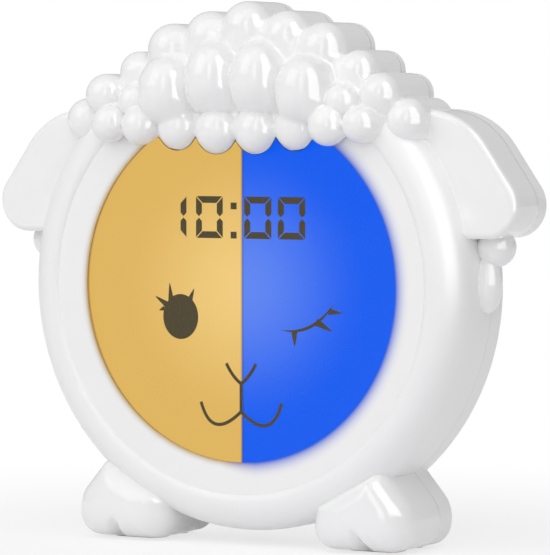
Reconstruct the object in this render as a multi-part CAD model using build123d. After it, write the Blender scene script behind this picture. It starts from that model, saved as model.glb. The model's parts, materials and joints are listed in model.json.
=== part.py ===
from build123d import *
import os
from math import cos, hypot, radians, sin, sqrt

os.makedirs("parts", exist_ok=True)

# A child's bedside alarm clock with a night light, in the form of a woolly sheep.
#
# Everything is drawn about the centre of the display: X runs to the right, Y runs
# from the front to the back, Z runs up. write() then moves each piece to the
# clock's own frame, which stands on z = 0 with its middle over the origin.
# All sizes are in millimetres.

# --- Walls and clearances -----------------------------------------------------------
WALL = 2.2              # moulded wall of both casing halves
FIT = 0.1               # between pieces that are pressed together
SLIP = 0.3              # round a piece that moves or drops in
SEAM = 0.25             # shadow line between the two casing halves
SCREW_SLIP = 0.05       # radial, between a screw's shank and its pilot hole

# --- Display and its ring -----------------------------------------------------------
DISPLAY_R = 52.0        # radius of the lit face
RING_WIDTH = 9.85       # plain ring round the lit face
RING_LIP = 0.8          # thin inner edge of the ring, in front of the window
RING_OVERLAP = 2.3      # how far the window reaches behind that lip
RING_FLANGE = 2.2       # thickness of the ring's flange
RING_CONE = 0.9         # how much the ring rises from the display to the rim
RING_EDGE_ROUND = 0.4
WINDOW_T = 1.8          # clear window
LCD_T = 2.2             # two glasses of the liquid crystal panel
LCD_MARGIN = 2.6        # glass beyond the lit face, at the flats
LCD_LEDGE = 1.6         # bare lower edge of the rear glass, where the ribbon is bonded
DIFFUSER_T = 2.0        # milky light panels

# --- Front casing: drum and rim -----------------------------------------------------
RIM_CREST_Y = -2.0      # most forward line of the rim, ahead of the display's lip
RIM_STEP = 1.6          # from the ring's edge to the crest
RIM_FALL = 0.4          # how far the rim's inner edge lies behind the crest
RIM_WIDTH = 9.0         # radial width of the quarter-round
RIM_DEPTH = 10.0        # depth of the quarter-round
PARTING_Y = 21.0        # where the front half of the casing ends
REAR_Y = 30.5           # back of the drum and of the feet
REAR_ROUND = 3.0        # rounding of the drum's back edge
GROUND_GAP = 4.3        # under the drum, down to the table

# --- Wool ---------------------------------------------------------------------------
# One half of the wool, each curl as (degrees from upright, centre inside the drum's
# radius, y, radius, half height). The other half mirrors it.
FRINGE = [(8.3, 27.1, 0.2, 6.4, 6.4), (23.5, 22.7, 0.0, 5.9, 5.9),
          (33.6, 16.6, -2.3, 5.6, 5.6), (41.8, 9.2, -2.7, 5.0, 5.0)]
MIDDLE = [(7.1, 11.0, -2.2, 8.3, 10.7), (21.9, 10.3, -2.4, 8.5, 9.9),
          (32.9, 7.2, -0.9, 5.0, 5.0)]
CROWN = [(0.0, -3.3, 6.3, 7.9, 7.9), (10.0, -1.8, 6.6, 7.7, 7.7), (20.0, -1.6, 6.0, 7.7, 7.7),
         (30.4, -0.7, 6.1, 6.0, 6.0), (39.4, -0.4, 2.8, 6.0, 6.0), (47.1, 1.6, 5.7, 6.0, 6.0)]
WOOL_Y = 3.4            # front of the wool's core, behind the crown's creases
WOOL_BACK_Y = 23.6
FRINGE_SLIP = 0.5       # between the ring and the wool that hangs over it
FRINGE_PLATE = 1.6      # web that carries the fringe over the ring
# Under each ear, as (x beyond the drum, y, z, radius, half height).
CHEEK_CURL = (3.0, 17.5, 12.2, 5.8, 5.8)
CHEEK_LOCK = (0.9, 16.2, 1.6, 4.3, 8.6)

# --- Ears ---------------------------------------------------------------------------
# Corners of an ear as (x beyond the drum, z, rounding), with a square root in the drum.
EAR_CORNERS = [(-24.6, 52.0, 0.0), (-2.4, 52.0, 24.0), (23.2, 14.8, 9.5), (-24.6, 14.8, 0.0)]
EAR_Y = 6.0             # front of the ear's rim
EAR_EDGE_ROUND = 2.2
EAR_BACK_Y = 27.4
EAR_BACK_ROUND = 1.0
EAR_DISH_RIM = 3.0      # width of the raised rim round the dished face
EAR_DISH_DEPTH = 1.5
EAR_DISH_SLOPE = 2.4    # width of the slope down to the dish's floor

# --- Feet ---------------------------------------------------------------------------
# Corners of a foot as (x, height above its sole, rounding).
FOOT_CORNERS = [(24.0, 0.0, 7.0), (54.8, 0.0, 7.0), (56.4, 11.5, 11.0), (45.0, 25.0, 3.0),
                (26.0, 22.0, 2.0)]
FOOT_Y = -2.5           # front of the toes
FOOT_EDGE_ROUND = 3.8
FOOT_BACK_ROUND = 2.0
CLEFT_X = 42.2          # middle of the cleft in the toes, at the sole
CLEFT_R = 2.1
CLEFT_TIP_R = 0.1
CLEFT_SKEW = 0.35       # how much the cleft's tip leans inwards
CLEFT_HEIGHT = 6.5
CLEFT_LEAN = 1.4        # how far the cleft falls back, down to the sole
PAD_LENGTH = 16.0       # rubber foot pads
PAD_FRONT_WIDTH = 9.0
PAD_BACK_WIDTH = 4.6
PAD_X = 40.1
PAD_FRONT_Y = 7.5
PAD_SEAM_GAP = 0.6      # between a rear pad and the seam
PAD_T = 1.4
PAD_PROUD = 0.6

# --- Screws -------------------------------------------------------------------------
POST_R = 3.2            # screw posts of the casing
POST_INSET = 5.6        # post's centre inside the drum's radius
POST_ANGLES = (50, 130, 220, 320)
CASE_SHANK_R = 1.3
CASE_HEAD_R = 2.6
CASE_HEAD_T = 1.9
CASE_HOLE_WALL = 1.3    # round the counterbore, in the rear half's post
CASE_SCREW_LENGTH = 14.0
COUNTERBORE_DEPTH = 3.2
SMALL_SHANK_R = 1.0
SMALL_HEAD_R = 1.9
SMALL_HEAD_T = 1.2
SMALL_SCREW_LENGTH = 6.0
BOSS_R = 2.5            # bosses for the small screws
RECESS_R = 1.1          # cross recess in every screw head, as a plain hole
RECESS_DEPTH = 0.8

# --- Light box and its board --------------------------------------------------------
BOX_WALL = 1.8
BOX_DEPTH = 9.0         # mixing depth behind the diffusers
BOX_SHELF = 3.5         # shelf that carries the glass and the diffusers
BARRIER_T = 1.2         # wall between the day side and the night side
TAB_ANGLES = (0, 90, 180, 245, 295)
TAB_WIDTH = 7.0
TAB_T = 1.8
TAB_Y = 9.0
TAB_INSET = 6.4         # tab's screw inside the drum's radius
BOARD_T = 1.6
LED_SIZE = 5.0
LED_T = 1.6
LED_COUNTS = (2, 4)     # lamps on each side, on an inner and an outer ring
LED_RING_SHARES = (0.385, 0.808)         # radii of those rings, as shares of the display's
LED_SPREAD = 130.0      # degrees that a side's lamps cover
LED_WINDOW = 0.5        # gap round each lamp in the box's floor
BOARD_BOSS_RING = 32.0  # bosses inside the box that take the board's screws
BOARD_BOSS_ANGLES = (35, 145, 215, 325)
BOARD_BOSS_H = 4.0
RIBBON_WIDTH = 24.0
RIBBON_T = 0.3
RIBBON_DROP = 4.6       # how far the ribbon swings out below the light box
PLUG_T = 2.4            # ribbon's connector on the board
PLUG_HEIGHT = 5.0
PLUG_Z = -41.0
HEADER_PINS = 8         # header between the two boards
HEADER_PITCH = 2.54
HEADER_PIN = 0.64
HEADER_STRIP = 2.5
HEADER_Z = 7.0
CHIP_SIZE = 10.0
CHIP_T = 1.4
CHIP_X = 27.0
CHIP_Z = 11.0
CRYSTAL_X = -27.0
CRYSTAL_R = 1.5
CRYSTAL_LENGTH = 8.0
CAPACITOR_R = 2.5
CAPACITOR_H = 5.5
CAPACITOR_PLACES = [(-34.0, 34.0), (33.0, 36.0), (45.0, 20.0)]

# --- Back housing -------------------------------------------------------------------
BACK_Y = 43.0           # flat back
DOME_GAP = 1.0          # between the back housing and the screw holes
DOME_DRAFT = 2.2        # how much the housing narrows towards the back
DOME_ROUND = 2.4

# --- Batteries ----------------------------------------------------------------------
CELL_R = 7.1
CELL_LENGTH = 49.0
CELL_NUB_R = 2.6
CELL_NUB = 1.4
CELL_PITCH = 14.9
CELL_COUNT = 3
CELL_SLACK = 0.15       # at each end of a cell
CELL_EDGE_ROUND = 0.8
BAY_Z = -22.0           # middle of the three cells
BAY_WALL = 1.6
CONTACT_T = 0.4
SPRING_LENGTH = 2.6
SPRING_R = 3.4
SPRING_TURNS = 3
SPRING_TIP = 0.5        # spring's radius at its narrow end, as a share of the wide end's
WIRE_R = 0.35
DOOR_T = 1.8
DOOR_MARGIN = 2.0       # door beyond the bay's opening
DOOR_CORNER = 4.0
DOOR_LOBE_R = 4.4
DOOR_SCREW_DROP = 3.2   # door screw below the bay's opening
RIB_WIDTH = 6.0         # locating ribs inside the door's upper edge
RIB_T = 1.0
RIB_REACH = 2.6
RIB_X = 17.0

# --- Buttons, switch, socket, speaker -----------------------------------------------
BUTTON_R = 4.5
BUTTON_PROUD = 1.5
BUTTON_TRAVEL = 0.7
BUTTON_FLANGE = 1.1     # flange beyond the cap, and its thickness
BUTTON_STEM_R = 1.6
BUTTON_EDGE_ROUND = 1.0
BUTTON_PITCH = 17.5
BUTTON_Z = 10.2
BUTTON_NAMES = ("light", "alarm", "set", "down", "up")
TACT_SIZE = 6.0
TACT_T = 3.5
TACT_PLUNGER_R = 1.7
TACT_PLUNGER = 0.7
MAIN_BOARD_Y = 32.4     # front of the main board
MAIN_BOARD_INSET = 3.4  # board's edge inside the housing's wall
MAIN_BOARD_GAP = 1.0    # between the board and the battery tray
LOW_SCREW_INSET = 4.2   # lower screws above the board's lower edge
SPEAKER_Z = 36.5
SPEAKER_R = 17.5
SPEAKER_FLANGE_T = 1.0
SPEAKER_FLANGE_W = 1.6
SPEAKER_SHEET = 0.8
SPEAKER_DEPTH = 5.5
MAGNET_R = 9.0
MAGNET_T = 4.0
MAGNET_EDGE = 0.6       # chamfer round the magnet's front
CONE_T = 0.4
CONE_DEPTH = 3.2
DUST_CAP_R = 4.5
DUST_CAP_H = 1.2
HOOK_ANGLES = (30, 150, 270)
HOOK_WIDTH = 5.0
HOOK_T = 1.3
HOOK_GRIP = 1.0         # how far a hook reaches over the speaker's flange
GRILLE_R = 13.5
GRILLE_SLOT = 2.0
GRILLE_PITCH = 4.0
SIDE_X = 36.5           # lock switch and power socket, either side of the speaker
SIDE_Z = 27.0
KNOB_WIDTH = 4.0
KNOB_HEIGHT = 4.5
KNOB_PROUD = 1.4
KNOB_TRAVEL = 4.0
KNOB_PLATE = 1.2        # slider's plate behind the wall
KNOB_PLATE_MARGIN = 1.8
LOCK_BODY_T = 3.6
KNOB_GROOVE_R = 0.35
SOCKET_WIDTH = 8.0
SOCKET_HEIGHT = 3.2
SOCKET_WALL = 0.4
SOCKET_TONGUE = 0.8
SOCKET_BACK = 1.0
SOCKET_SET_BACK = 0.6   # mouth inside the wall's outer face

# --- Derived levels -----------------------------------------------------------------
RING_R = DISPLAY_R + RING_WIDTH
BORE_R = RING_R + 0.15                          # rim's bore round the ring
RIM_R = BORE_R + RIM_STEP
DRUM_R = RIM_R + RIM_WIDTH
LIP_BACK_Y = RIM_CREST_Y + WALL
RING_BACK_Y = LIP_BACK_Y + RING_FLANGE
WINDOW_Y = RING_BACK_Y - FIT - WINDOW_T
LCD_Y = RING_BACK_Y + FIT
DIFFUSER_Y = LCD_Y + LCD_T + FIT
SHELF_Y = DIFFUSER_Y + DIFFUSER_T + FIT
BOX_FLOOR_Y = SHELF_Y + BOX_DEPTH
LED_BOARD_Y = BOX_FLOOR_Y + BOX_WALL + FIT
LCD_R = DISPLAY_R + LCD_MARGIN                  # to the flats of the octagon
SEAT_R = LCD_R / cos(radians(22.5)) + FIT       # round seat that its corners touch
RING_OUTER_R = RIM_R - 0.2
SOLE_Z = -(DRUM_R + GROUND_GAP) + PAD_PROUD
TABLE_Z = -(DRUM_R + GROUND_GAP)
SCREW_RING_R = DRUM_R - POST_INSET
DOME_R = SCREW_RING_R - CASE_HEAD_R - DOME_GAP  # housing's radius at its foot
DOME_TOP_R = DOME_R - DOME_DRAFT
INSIDE_BACK_Y = BACK_Y - WALL
FRINGE_BACK_Y = WINDOW_Y - RING_LIP - RING_CONE - FRINGE_SLIP
CELL_ROOM = CELL_R + 0.4
BAY_HALF_X = (CELL_LENGTH + CELL_NUB + SPRING_LENGTH) / 2 + CELL_SLACK + CONTACT_T
BAY_HALF_Z = CELL_PITCH * (CELL_COUNT - 1) / 2 + CELL_ROOM
DOOR_Y = BACK_Y - DOOR_T
DOOR_SCREW_Z = BAY_Z - BAY_HALF_Z - DOOR_SCREW_DROP
BAY_FLOOR_Y = DOOR_Y - 2 * CELL_ROOM
CELL_Y = BAY_FLOOR_Y + CELL_ROOM
MAIN_BOARD_BACK_Y = MAIN_BOARD_Y + BOARD_T
MAIN_BOARD_R = DOME_TOP_R - WALL - MAIN_BOARD_INSET
MAIN_BOARD_LOW_Z = BAY_Z + BAY_HALF_Z + BAY_WALL + MAIN_BOARD_GAP
BOARD_SCREWS = [(0.90 * MAIN_BOARD_R, MAIN_BOARD_LOW_Z + LOW_SCREW_INSET),
                (0.576 * MAIN_BOARD_R, 0.755 * MAIN_BOARD_R)]
CHAMBER_R = SEAT_R - BOX_SHELF
BOX_BACK_Y = BOX_FLOOR_Y + BOX_WALL
REAR_FRONT_Y = PARTING_Y + SEAM
SEAT_Y = REAR_Y - COUNTERBORE_DEPTH             # where the casing screws' heads sit
WINDOW_R = DISPLAY_R + RING_OVERLAP
TACT_TOP_Y = MAIN_BOARD_BACK_Y + TACT_T + TACT_PLUNGER
FRONT_REACH = min(y - radius for *_, y, radius, _ in FRINGE + MIDDLE + CROWN)
BACK_REACH = BACK_Y + max(BUTTON_PROUD, KNOB_PROUD)
TO_FRAME = Pos(0, -(FRONT_REACH + BACK_REACH) / 2, -TABLE_Z)


# --- Ways of drawing ----------------------------------------------------------------
def at_y(y):
    """Plane across the clock at y, seen from the front: X to the right, Z up."""
    return Plane(origin=(0, y, 0), x_dir=(1, 0, 0), z_dir=(0, -1, 0))


def slab(outline, front, back, taper=0.0):
    """Carry an outline drawn in x and z from y = front to y = back."""
    return extrude(at_y(back) * outline, amount=back - front, taper=taper)


def peg(x, z, radius, front, back):
    """Round peg along Y."""
    return slab(Pos(x, z) * Circle(radius), front, back)


def block(x, z, width, height, front, back, corner=0.0):
    """Plate across the clock, with rounded corners where corner is given."""
    shape = RectangleRounded(width, height, corner) if corner else Rectangle(width, height)
    return slab(Pos(x, z) * shape, front, back)


def turned(*edges):
    """Turn an outline drawn in radius and y round the clock's Y axis."""
    return revolve(make_face(Curve() + list(edges)), Axis.Y)


def turned_points(*points):
    """Turn straight-edged steps, given as (radius, y), round the clock's Y axis."""
    return revolve(make_face(Polyline(*points, close=True)), Axis.Y)


def egg(x, y, z, radius, half_height):
    """Round curl: a sphere, or an egg that stands upright where it is taller than wide."""
    if half_height == radius:
        return Plane(origin=(x, y, z), x_dir=(0, 0, 1), z_dir=(0, 1, 0)) * Sphere(radius)
    bow = EllipticalCenterArc((0, 0), radius, half_height, start_angle=-90, arc_size=180)
    half = make_face(Curve() + [bow, Line((0, half_height), (0, -half_height))])
    return Pos(x, y, z) * revolve(Plane.YZ * half, Axis.Z)


def on_ring(radius, angle):
    """Point at an angle from +X, as (x, z)."""
    return radius * cos(radians(angle)), radius * sin(radians(angle))


def both_sides(piece):
    """A piece and its mirror image in the plane x = 0."""
    return [piece, mirror(piece, Plane.YZ)]


def rod(x0, x1, y, z, radius):
    """Round rod along X."""
    return Pos((x0 + x1) / 2, y, z) * Rot(0, 90, 0) * Cylinder(radius, abs(x1 - x0))


# --- Casing outlines ----------------------------------------------------------------
def curl_place(degrees, inset):
    """Centre of a curl as (x, z)."""
    reach = DRUM_R - inset
    return reach * sin(radians(degrees)), reach * cos(radians(degrees))


def mirrored_curls(row):
    """A row's curls as (x, z, y, radius, half height), from left to right."""
    right = [(*curl_place(degrees, inset), *rest) for degrees, inset, *rest in row]
    left = [(-x, *rest) for x, *rest in reversed(right) if x > 1e-6]
    return left + right


def ear_outline():
    """Right ear: straight and rounded edges outside, a square root inside the drum."""
    corners = [(DRUM_R + x, z) for x, z, _ in EAR_CORNERS]
    return make_face(FilletPolyline(*corners, radius=[r for *_, r in EAR_CORNERS], close=True))


def foot_outline():
    """Right foot: a rounded hoof whose top is inside the drum."""
    corners = [(x, SOLE_Z + height) for x, height, _ in FOOT_CORNERS]
    return make_face(FilletPolyline(*corners, radius=[r for *_, r in FOOT_CORNERS], close=True))


def wool_web(front, back):
    """Flat body of the wool, between the middles of the crown's curls."""
    crown = mirrored_curls(CROWN)
    return slab(make_face(Polyline(*[(x, z) for x, z, *_ in crown], close=True)), front, back)


def wool_core(front, back, inset):
    """Body of the wool with a peg for each curl of the crown."""
    return wool_web(front, back) + [peg(x, z, radius - inset, max(y, front), back)
                                    for x, z, y, radius, _ in mirrored_curls(CROWN)]


def crown_curls(back):
    """The crown's curls: a half ball in front of a round tail."""
    shapes = []
    for x, z, y, radius, _ in mirrored_curls(CROWN):
        ball = CenterArc((0, y), radius, start_angle=-90, arc_size=90)
        tail = Polyline((radius, y), (radius, back), (0, back), (0, y - radius))
        shapes.append(Pos(x, 0, z) * turned(ball, tail))
    return shapes


def drum_solid(inset, back):
    """Drum with its quarter-round front edge, drawn inset by a wall's thickness."""
    crest = RIM_CREST_Y + inset
    turn_y = RIM_CREST_Y + RIM_DEPTH
    outer = DRUM_R - inset
    fall = 0 if inset else RIM_FALL
    curve = EllipticalCenterArc((RIM_R, turn_y), RIM_WIDTH - inset, RIM_DEPTH - inset,
                                start_angle=-90, arc_size=90)
    steps = Polyline((outer, turn_y), (outer, back), (0, back), (0, crest + fall),
                     (BORE_R, crest + fall), (RIM_R, crest))
    return turned(curve, steps)


# --- Front casing -------------------------------------------------------------------
def front_edges(piece):
    return piece.faces().sort_by(Axis.Y)[0].edges()


def back_edges(piece):
    return piece.faces().sort_by(Axis.Y)[-1].edges()


def rounded_ear(front, back):
    """Ear with a rounded front edge and a dished face."""
    ear = slab(ear_outline(), front, back)
    ear = fillet(front_edges(ear), EAR_EDGE_ROUND)
    mouth = at_y(front) * offset(ear_outline(), amount=-EAR_DISH_RIM)
    floor = at_y(front + EAR_DISH_DEPTH) * offset(ear_outline(), amount=-EAR_DISH_RIM - EAR_DISH_SLOPE)
    return ear - loft([mouth.face(), floor.face()])


def rounded_foot(front, back):
    """Foot with rounded toes and a cleft in the middle of them."""
    foot = slab(foot_outline(), front, back)
    foot = fillet(front_edges(foot), FOOT_EDGE_ROUND)
    slope = Plane(origin=(CLEFT_X, front + CLEFT_LEAN, SOLE_Z),
                  z_dir=(-CLEFT_SKEW, -CLEFT_LEAN / CLEFT_HEIGHT, 1))
    return foot - slope * Pos(0, 0, CLEFT_HEIGHT / 2) * Cone(CLEFT_R, CLEFT_TIP_R, CLEFT_HEIGHT + 2)


def curls(row):
    return [egg(x, y, z, radius, tall) for x, z, y, radius, tall in mirrored_curls(row)]


def fringe_plate():
    """Web behind the fringe, over the ring, out to the rim's crest."""
    fringe = [(x, z) for x, z, *_ in mirrored_curls(FRINGE)]
    above = [(DRUM_R, fringe[-1][1]), (DRUM_R, DRUM_R), (-DRUM_R, DRUM_R), (-DRUM_R, fringe[0][1])]
    region = make_face(Polyline(*fringe, *above, close=True))
    return slab(region & Circle(RIM_R), FRINGE_BACK_Y - FRINGE_PLATE, FRINGE_BACK_Y)


def cheek_wool(front, back):
    """Curl and hanging lock on the drum's side, under the ear, kept between two planes."""
    kept = slab(Rectangle(4 * DRUM_R, 4 * DRUM_R), front, back)
    eggs = [egg(side * (DRUM_R + reach), y, z, radius, tall) for side in (-1, 1)
            for reach, y, z, radius, tall in (CHEEK_CURL, CHEEK_LOCK) if y + radius > front]
    return [shape & kept for shape in eggs]


def post_places():
    return [on_ring(SCREW_RING_R, angle) for angle in POST_ANGLES]


def tab_places():
    return [on_ring(DRUM_R - TAB_INSET, angle) for angle in TAB_ANGLES]


def front_inside():
    """Room inside the front half's drum, ears, feet and wool."""
    ear_front = EAR_Y + EAR_DISH_DEPTH + WALL
    foot_front = FOOT_Y + FOOT_EDGE_ROUND + WALL
    room = drum_solid(WALL, PARTING_Y)
    room += both_sides(slab(offset(ear_outline(), amount=-WALL), ear_front, PARTING_Y))
    room += both_sides(slab(offset(foot_outline(), amount=-WALL), foot_front, PARTING_Y))
    return room + wool_core(WOOL_Y + WALL, PARTING_Y, WALL)


def front_shell():
    """Front half: drum, ears, feet and wool as one hollow moulding."""
    drum = drum_solid(0, PARTING_Y)
    body = drum + both_sides(rounded_ear(EAR_Y, PARTING_Y))
    body += both_sides(rounded_foot(FOOT_Y, PARTING_Y))
    body += wool_web(WOOL_Y, PARTING_Y)
    body += crown_curls(PARTING_Y)
    body += curls(MIDDLE) + cheek_wool(0, PARTING_Y)
    body += fringe_plate()
    body += curls(FRINGE)
    body -= peg(0, 0, BORE_R, FRINGE_BACK_Y, LIP_BACK_Y + 1)
    body -= front_inside()
    posts = [peg(x, z, POST_R, LIP_BACK_Y, PARTING_Y) for x, z in post_places()]
    posts += [peg(x, z, BOSS_R, LIP_BACK_Y, TAB_Y) for x, z in tab_places()]
    body += [post & drum for post in posts]
    body -= [peg(x, z, CASE_SHANK_R + SCREW_SLIP, PARTING_Y - CASE_SCREW_LENGTH, PARTING_Y)
             for x, z in post_places()]
    body -= [peg(x, z, SMALL_SHANK_R + SCREW_SLIP, TAB_Y - SMALL_SCREW_LENGTH, TAB_Y)
             for x, z in tab_places()]
    return body - pad_recesses(front_pads())


# --- Feet pads ----------------------------------------------------------------------
def pad(x, y, width, bottom, top, grow=0.0):
    """Rubber pad: a rounded plate under a foot."""
    outline = RectangleRounded(PAD_LENGTH + 2 * grow, width + 2 * grow, width / 3)
    return Pos(x, y, bottom) * extrude(outline, amount=top - bottom)


def front_pads():
    return [(side * PAD_X, PAD_FRONT_Y + PAD_FRONT_WIDTH / 2, PAD_FRONT_WIDTH) for side in (-1, 1)]


def back_pads():
    y = REAR_FRONT_Y + PAD_SEAM_GAP + PAD_BACK_WIDTH / 2
    return [(side * PAD_X, y, PAD_BACK_WIDTH) for side in (-1, 1)]


def pad_recesses(places):
    return [pad(*place, SOLE_Z - 1, SOLE_Z + PAD_T - PAD_PROUD, FIT) for place in places]


def foot_pads():
    return [pad(*place, TABLE_Z, TABLE_Z + PAD_T) for place in front_pads() + back_pads()]


# --- Rear casing --------------------------------------------------------------------
def dome(inset):
    """Round housing on the back, drawn inset by a wall's thickness."""
    foot_y = REAR_Y - REAR_ROUND - inset
    body = turned_points((0, foot_y), (DOME_R - inset, foot_y), (DOME_TOP_R - inset, BACK_Y - inset),
                         (0, BACK_Y - inset))
    return body if inset else fillet(back_edges(body), DOME_ROUND)


def rear_outside():
    disc = fillet(back_edges(peg(0, 0, DRUM_R, REAR_FRONT_Y, REAR_Y)), REAR_ROUND)
    ear = slab(ear_outline(), REAR_FRONT_Y, EAR_BACK_Y)
    foot = slab(foot_outline(), REAR_FRONT_Y, REAR_Y)
    body = disc + both_sides(fillet(back_edges(ear), EAR_BACK_ROUND))
    body += both_sides(fillet(back_edges(foot), FOOT_BACK_ROUND))
    body += cheek_wool(REAR_FRONT_Y, REAR_Y)
    return body + wool_core(REAR_FRONT_Y, WOOL_BACK_Y, 0) + dome(0)


def rear_inside():
    """Room inside the rear half's drum, ears, feet and housing; the wool's back is a flat cover."""
    back = REAR_Y - WALL
    room = peg(0, 0, DRUM_R - WALL, REAR_FRONT_Y, back) + dome(WALL)
    room += both_sides(slab(offset(ear_outline(), amount=-WALL), REAR_FRONT_Y, EAR_BACK_Y - WALL))
    return room + both_sides(slab(offset(foot_outline(), amount=-WALL), REAR_FRONT_Y, back))


def door_outline(grow):
    """Battery door with its round screw lobe."""
    plate = RectangleRounded(2 * (BAY_HALF_X + DOOR_MARGIN + grow), 2 * (BAY_HALF_Z + DOOR_MARGIN + grow),
                             DOOR_CORNER + grow)
    return Pos(0, BAY_Z) * plate + Pos(0, DOOR_SCREW_Z) * Circle(DOOR_LOBE_R + grow)


def bay_walls():
    """Battery tray hanging inside the back housing, and the thick frame round its door."""
    tray = block(0, BAY_Z, 2 * (BAY_HALF_X + BAY_WALL), 2 * (BAY_HALF_Z + BAY_WALL),
                 BAY_FLOOR_Y - BAY_WALL, DOOR_Y)
    frame = slab(door_outline(SLIP + BAY_WALL), DOOR_Y - BAY_WALL, BACK_Y - DOME_ROUND / 2)
    boss = peg(0, DOOR_SCREW_Z, BOSS_R, DOOR_Y - SMALL_SCREW_LENGTH - 1, DOOR_Y)
    return [tray, frame, boss]


def bay_room():
    pocket = block(0, BAY_Z, 2 * BAY_HALF_X, 2 * BAY_HALF_Z, BAY_FLOOR_Y, BACK_Y)
    return [pocket, slab(door_outline(SLIP), DOOR_Y, BACK_Y + 1),
            peg(0, DOOR_SCREW_Z, SMALL_SHANK_R + SCREW_SLIP, DOOR_Y - SMALL_SCREW_LENGTH, DOOR_Y)]


def grille_slots():
    """Level slots that fill a circle in front of the speaker."""
    count = int(GRILLE_R / GRILLE_PITCH)
    slots = []
    for row in range(-count, count + 1):
        rise = row * GRILLE_PITCH
        length = 2 * sqrt(GRILLE_R ** 2 - rise ** 2)
        slot = Pos(0, SPEAKER_Z + rise) * SlotOverall(length, GRILLE_SLOT)
        slots.append(slab(slot, INSIDE_BACK_Y - 1, BACK_Y + 1))
    return slots


def speaker_hooks():
    """Snap hooks that hold the speaker's flange against the back wall."""
    flange_y = INSIDE_BACK_Y - SPEAKER_FLANGE_T
    hooks = []
    for angle in HOOK_ANGLES:
        turn = Pos(0, 0, SPEAKER_Z) * Rot(0, -angle, 0)
        leg_x = SPEAKER_R + FIT + HOOK_T / 2
        leg = block(leg_x, 0, HOOK_T, HOOK_WIDTH, flange_y - HOOK_T, INSIDE_BACK_Y)
        tip = block(leg_x - HOOK_GRIP, 0, HOOK_T, HOOK_WIDTH, flange_y - FIT - HOOK_T, flange_y - FIT)
        hooks.append(turn * (leg + tip))
    return hooks


def button_places():
    middle = (len(BUTTON_NAMES) - 1) / 2
    return [((index - middle) * BUTTON_PITCH, BUTTON_Z) for index in range(len(BUTTON_NAMES))]


def board_screw_places():
    return [(side * x, z) for x, z in BOARD_SCREWS for side in (-1, 1)]


def back_openings():
    """Holes for the buttons, the lock switch, the power socket and the sound."""
    cuts = [peg(x, z, BUTTON_R + SLIP, INSIDE_BACK_Y - 1, BACK_Y + 1) for x, z in button_places()]
    cuts.append(block(-SIDE_X, SIDE_Z, KNOB_WIDTH + 2 * SLIP, KNOB_HEIGHT + KNOB_TRAVEL + 2 * SLIP,
                      INSIDE_BACK_Y - 1, BACK_Y + 1))
    cuts.append(block(SIDE_X, SIDE_Z, SOCKET_WIDTH + 2 * SLIP, SOCKET_HEIGHT + 2 * SLIP,
                      INSIDE_BACK_Y - 1, BACK_Y + 1, SOCKET_HEIGHT / 3))
    return cuts + grille_slots()


def rear_shell():
    """Rear half: drum edge, ears, feet and wool, with the housing for the works."""
    body = rear_outside() - rear_inside()
    body += bay_walls()
    body += [peg(x, z, CASE_HEAD_R + SLIP + CASE_HOLE_WALL, PARTING_Y, REAR_Y - WALL / 2)
             & peg(0, 0, DRUM_R, PARTING_Y, REAR_Y) for x, z in post_places()]
    body += [peg(x, z, BOSS_R, MAIN_BOARD_BACK_Y, INSIDE_BACK_Y + WALL / 2)
             for x, z in board_screw_places()]
    body += speaker_hooks()
    body -= bay_room()
    body -= [peg(x, z, CASE_SHANK_R + SLIP, PARTING_Y - 1, REAR_Y) for x, z in post_places()]
    body -= [peg(x, z, CASE_HEAD_R + SLIP, SEAT_Y, REAR_Y + 1) for x, z in post_places()]
    body -= [peg(x, z, SMALL_SHANK_R + SCREW_SLIP, MAIN_BOARD_BACK_Y,
                 MAIN_BOARD_BACK_Y + SMALL_SCREW_LENGTH - 1) for x, z in board_screw_places()]
    return body - back_openings() - pad_recesses(back_pads())


# --- Screws -------------------------------------------------------------------------
def screw(x, z, seat, length, shank_r, head_r, head_t, towards):
    """Round-headed screw whose head stands behind its seat (towards = 1) or before it (-1)."""
    profile = make_face(FilletPolyline((0, 0), (head_r, 0), (head_r, head_t), (0, head_t),
                                       radius=[0, 0, head_t / 2, 0], close=True))
    head = revolve(profile, Axis.Y) - peg(0, 0, RECESS_R, head_t - RECESS_DEPTH, head_t)
    shank = peg(0, 0, shank_r, -length, 0)
    whole = head + shank
    if towards < 0:
        whole = Rot(180, 0, 0) * whole
    return Pos(x, seat, z) * whole


def case_screws():
    return [screw(x, z, SEAT_Y, CASE_SCREW_LENGTH, CASE_SHANK_R, CASE_HEAD_R, CASE_HEAD_T, 1)
            for x, z in post_places()]


def small_screws(places, seat, towards, length=SMALL_SCREW_LENGTH - 1):
    return [screw(x, z, seat, length, SMALL_SHANK_R, SMALL_HEAD_R, SMALL_HEAD_T, towards)
            for x, z in places]


# --- Display stack ------------------------------------------------------------------
def bezel_ring():
    """Plain ring round the display: a cone in front, a rebate for the window behind."""
    lip_front = WINDOW_Y - RING_LIP
    body = turned_points((DISPLAY_R, lip_front), (RING_R, lip_front - RING_CONE), (RING_R, LIP_BACK_Y),
                         (RING_OUTER_R, LIP_BACK_Y), (RING_OUTER_R, RING_BACK_Y),
                         (WINDOW_R + FIT, RING_BACK_Y), (WINDOW_R + FIT, WINDOW_Y), (DISPLAY_R, WINDOW_Y))
    rounds = body.edges().filter_by(GeomType.CIRCLE).sort_by(Axis.Y)
    return fillet(rounds[0], RING_EDGE_ROUND)


def window():
    return peg(0, 0, WINDOW_R, WINDOW_Y, WINDOW_Y + WINDOW_T)


def lcd_panel():
    """Two glasses of an octagon, the front one a little shorter at its lower edge."""
    octagon = RegularPolygon(LCD_R, 8, major_radius=False, rotation=22.5)
    back = slab(octagon, LCD_Y + LCD_T / 2, LCD_Y + LCD_T)
    shorter = octagon - Pos(0, -LCD_R) * Rectangle(4 * LCD_R, 2 * LCD_LEDGE)
    return back + slab(shorter, LCD_Y, LCD_Y + LCD_T / 2)


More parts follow.
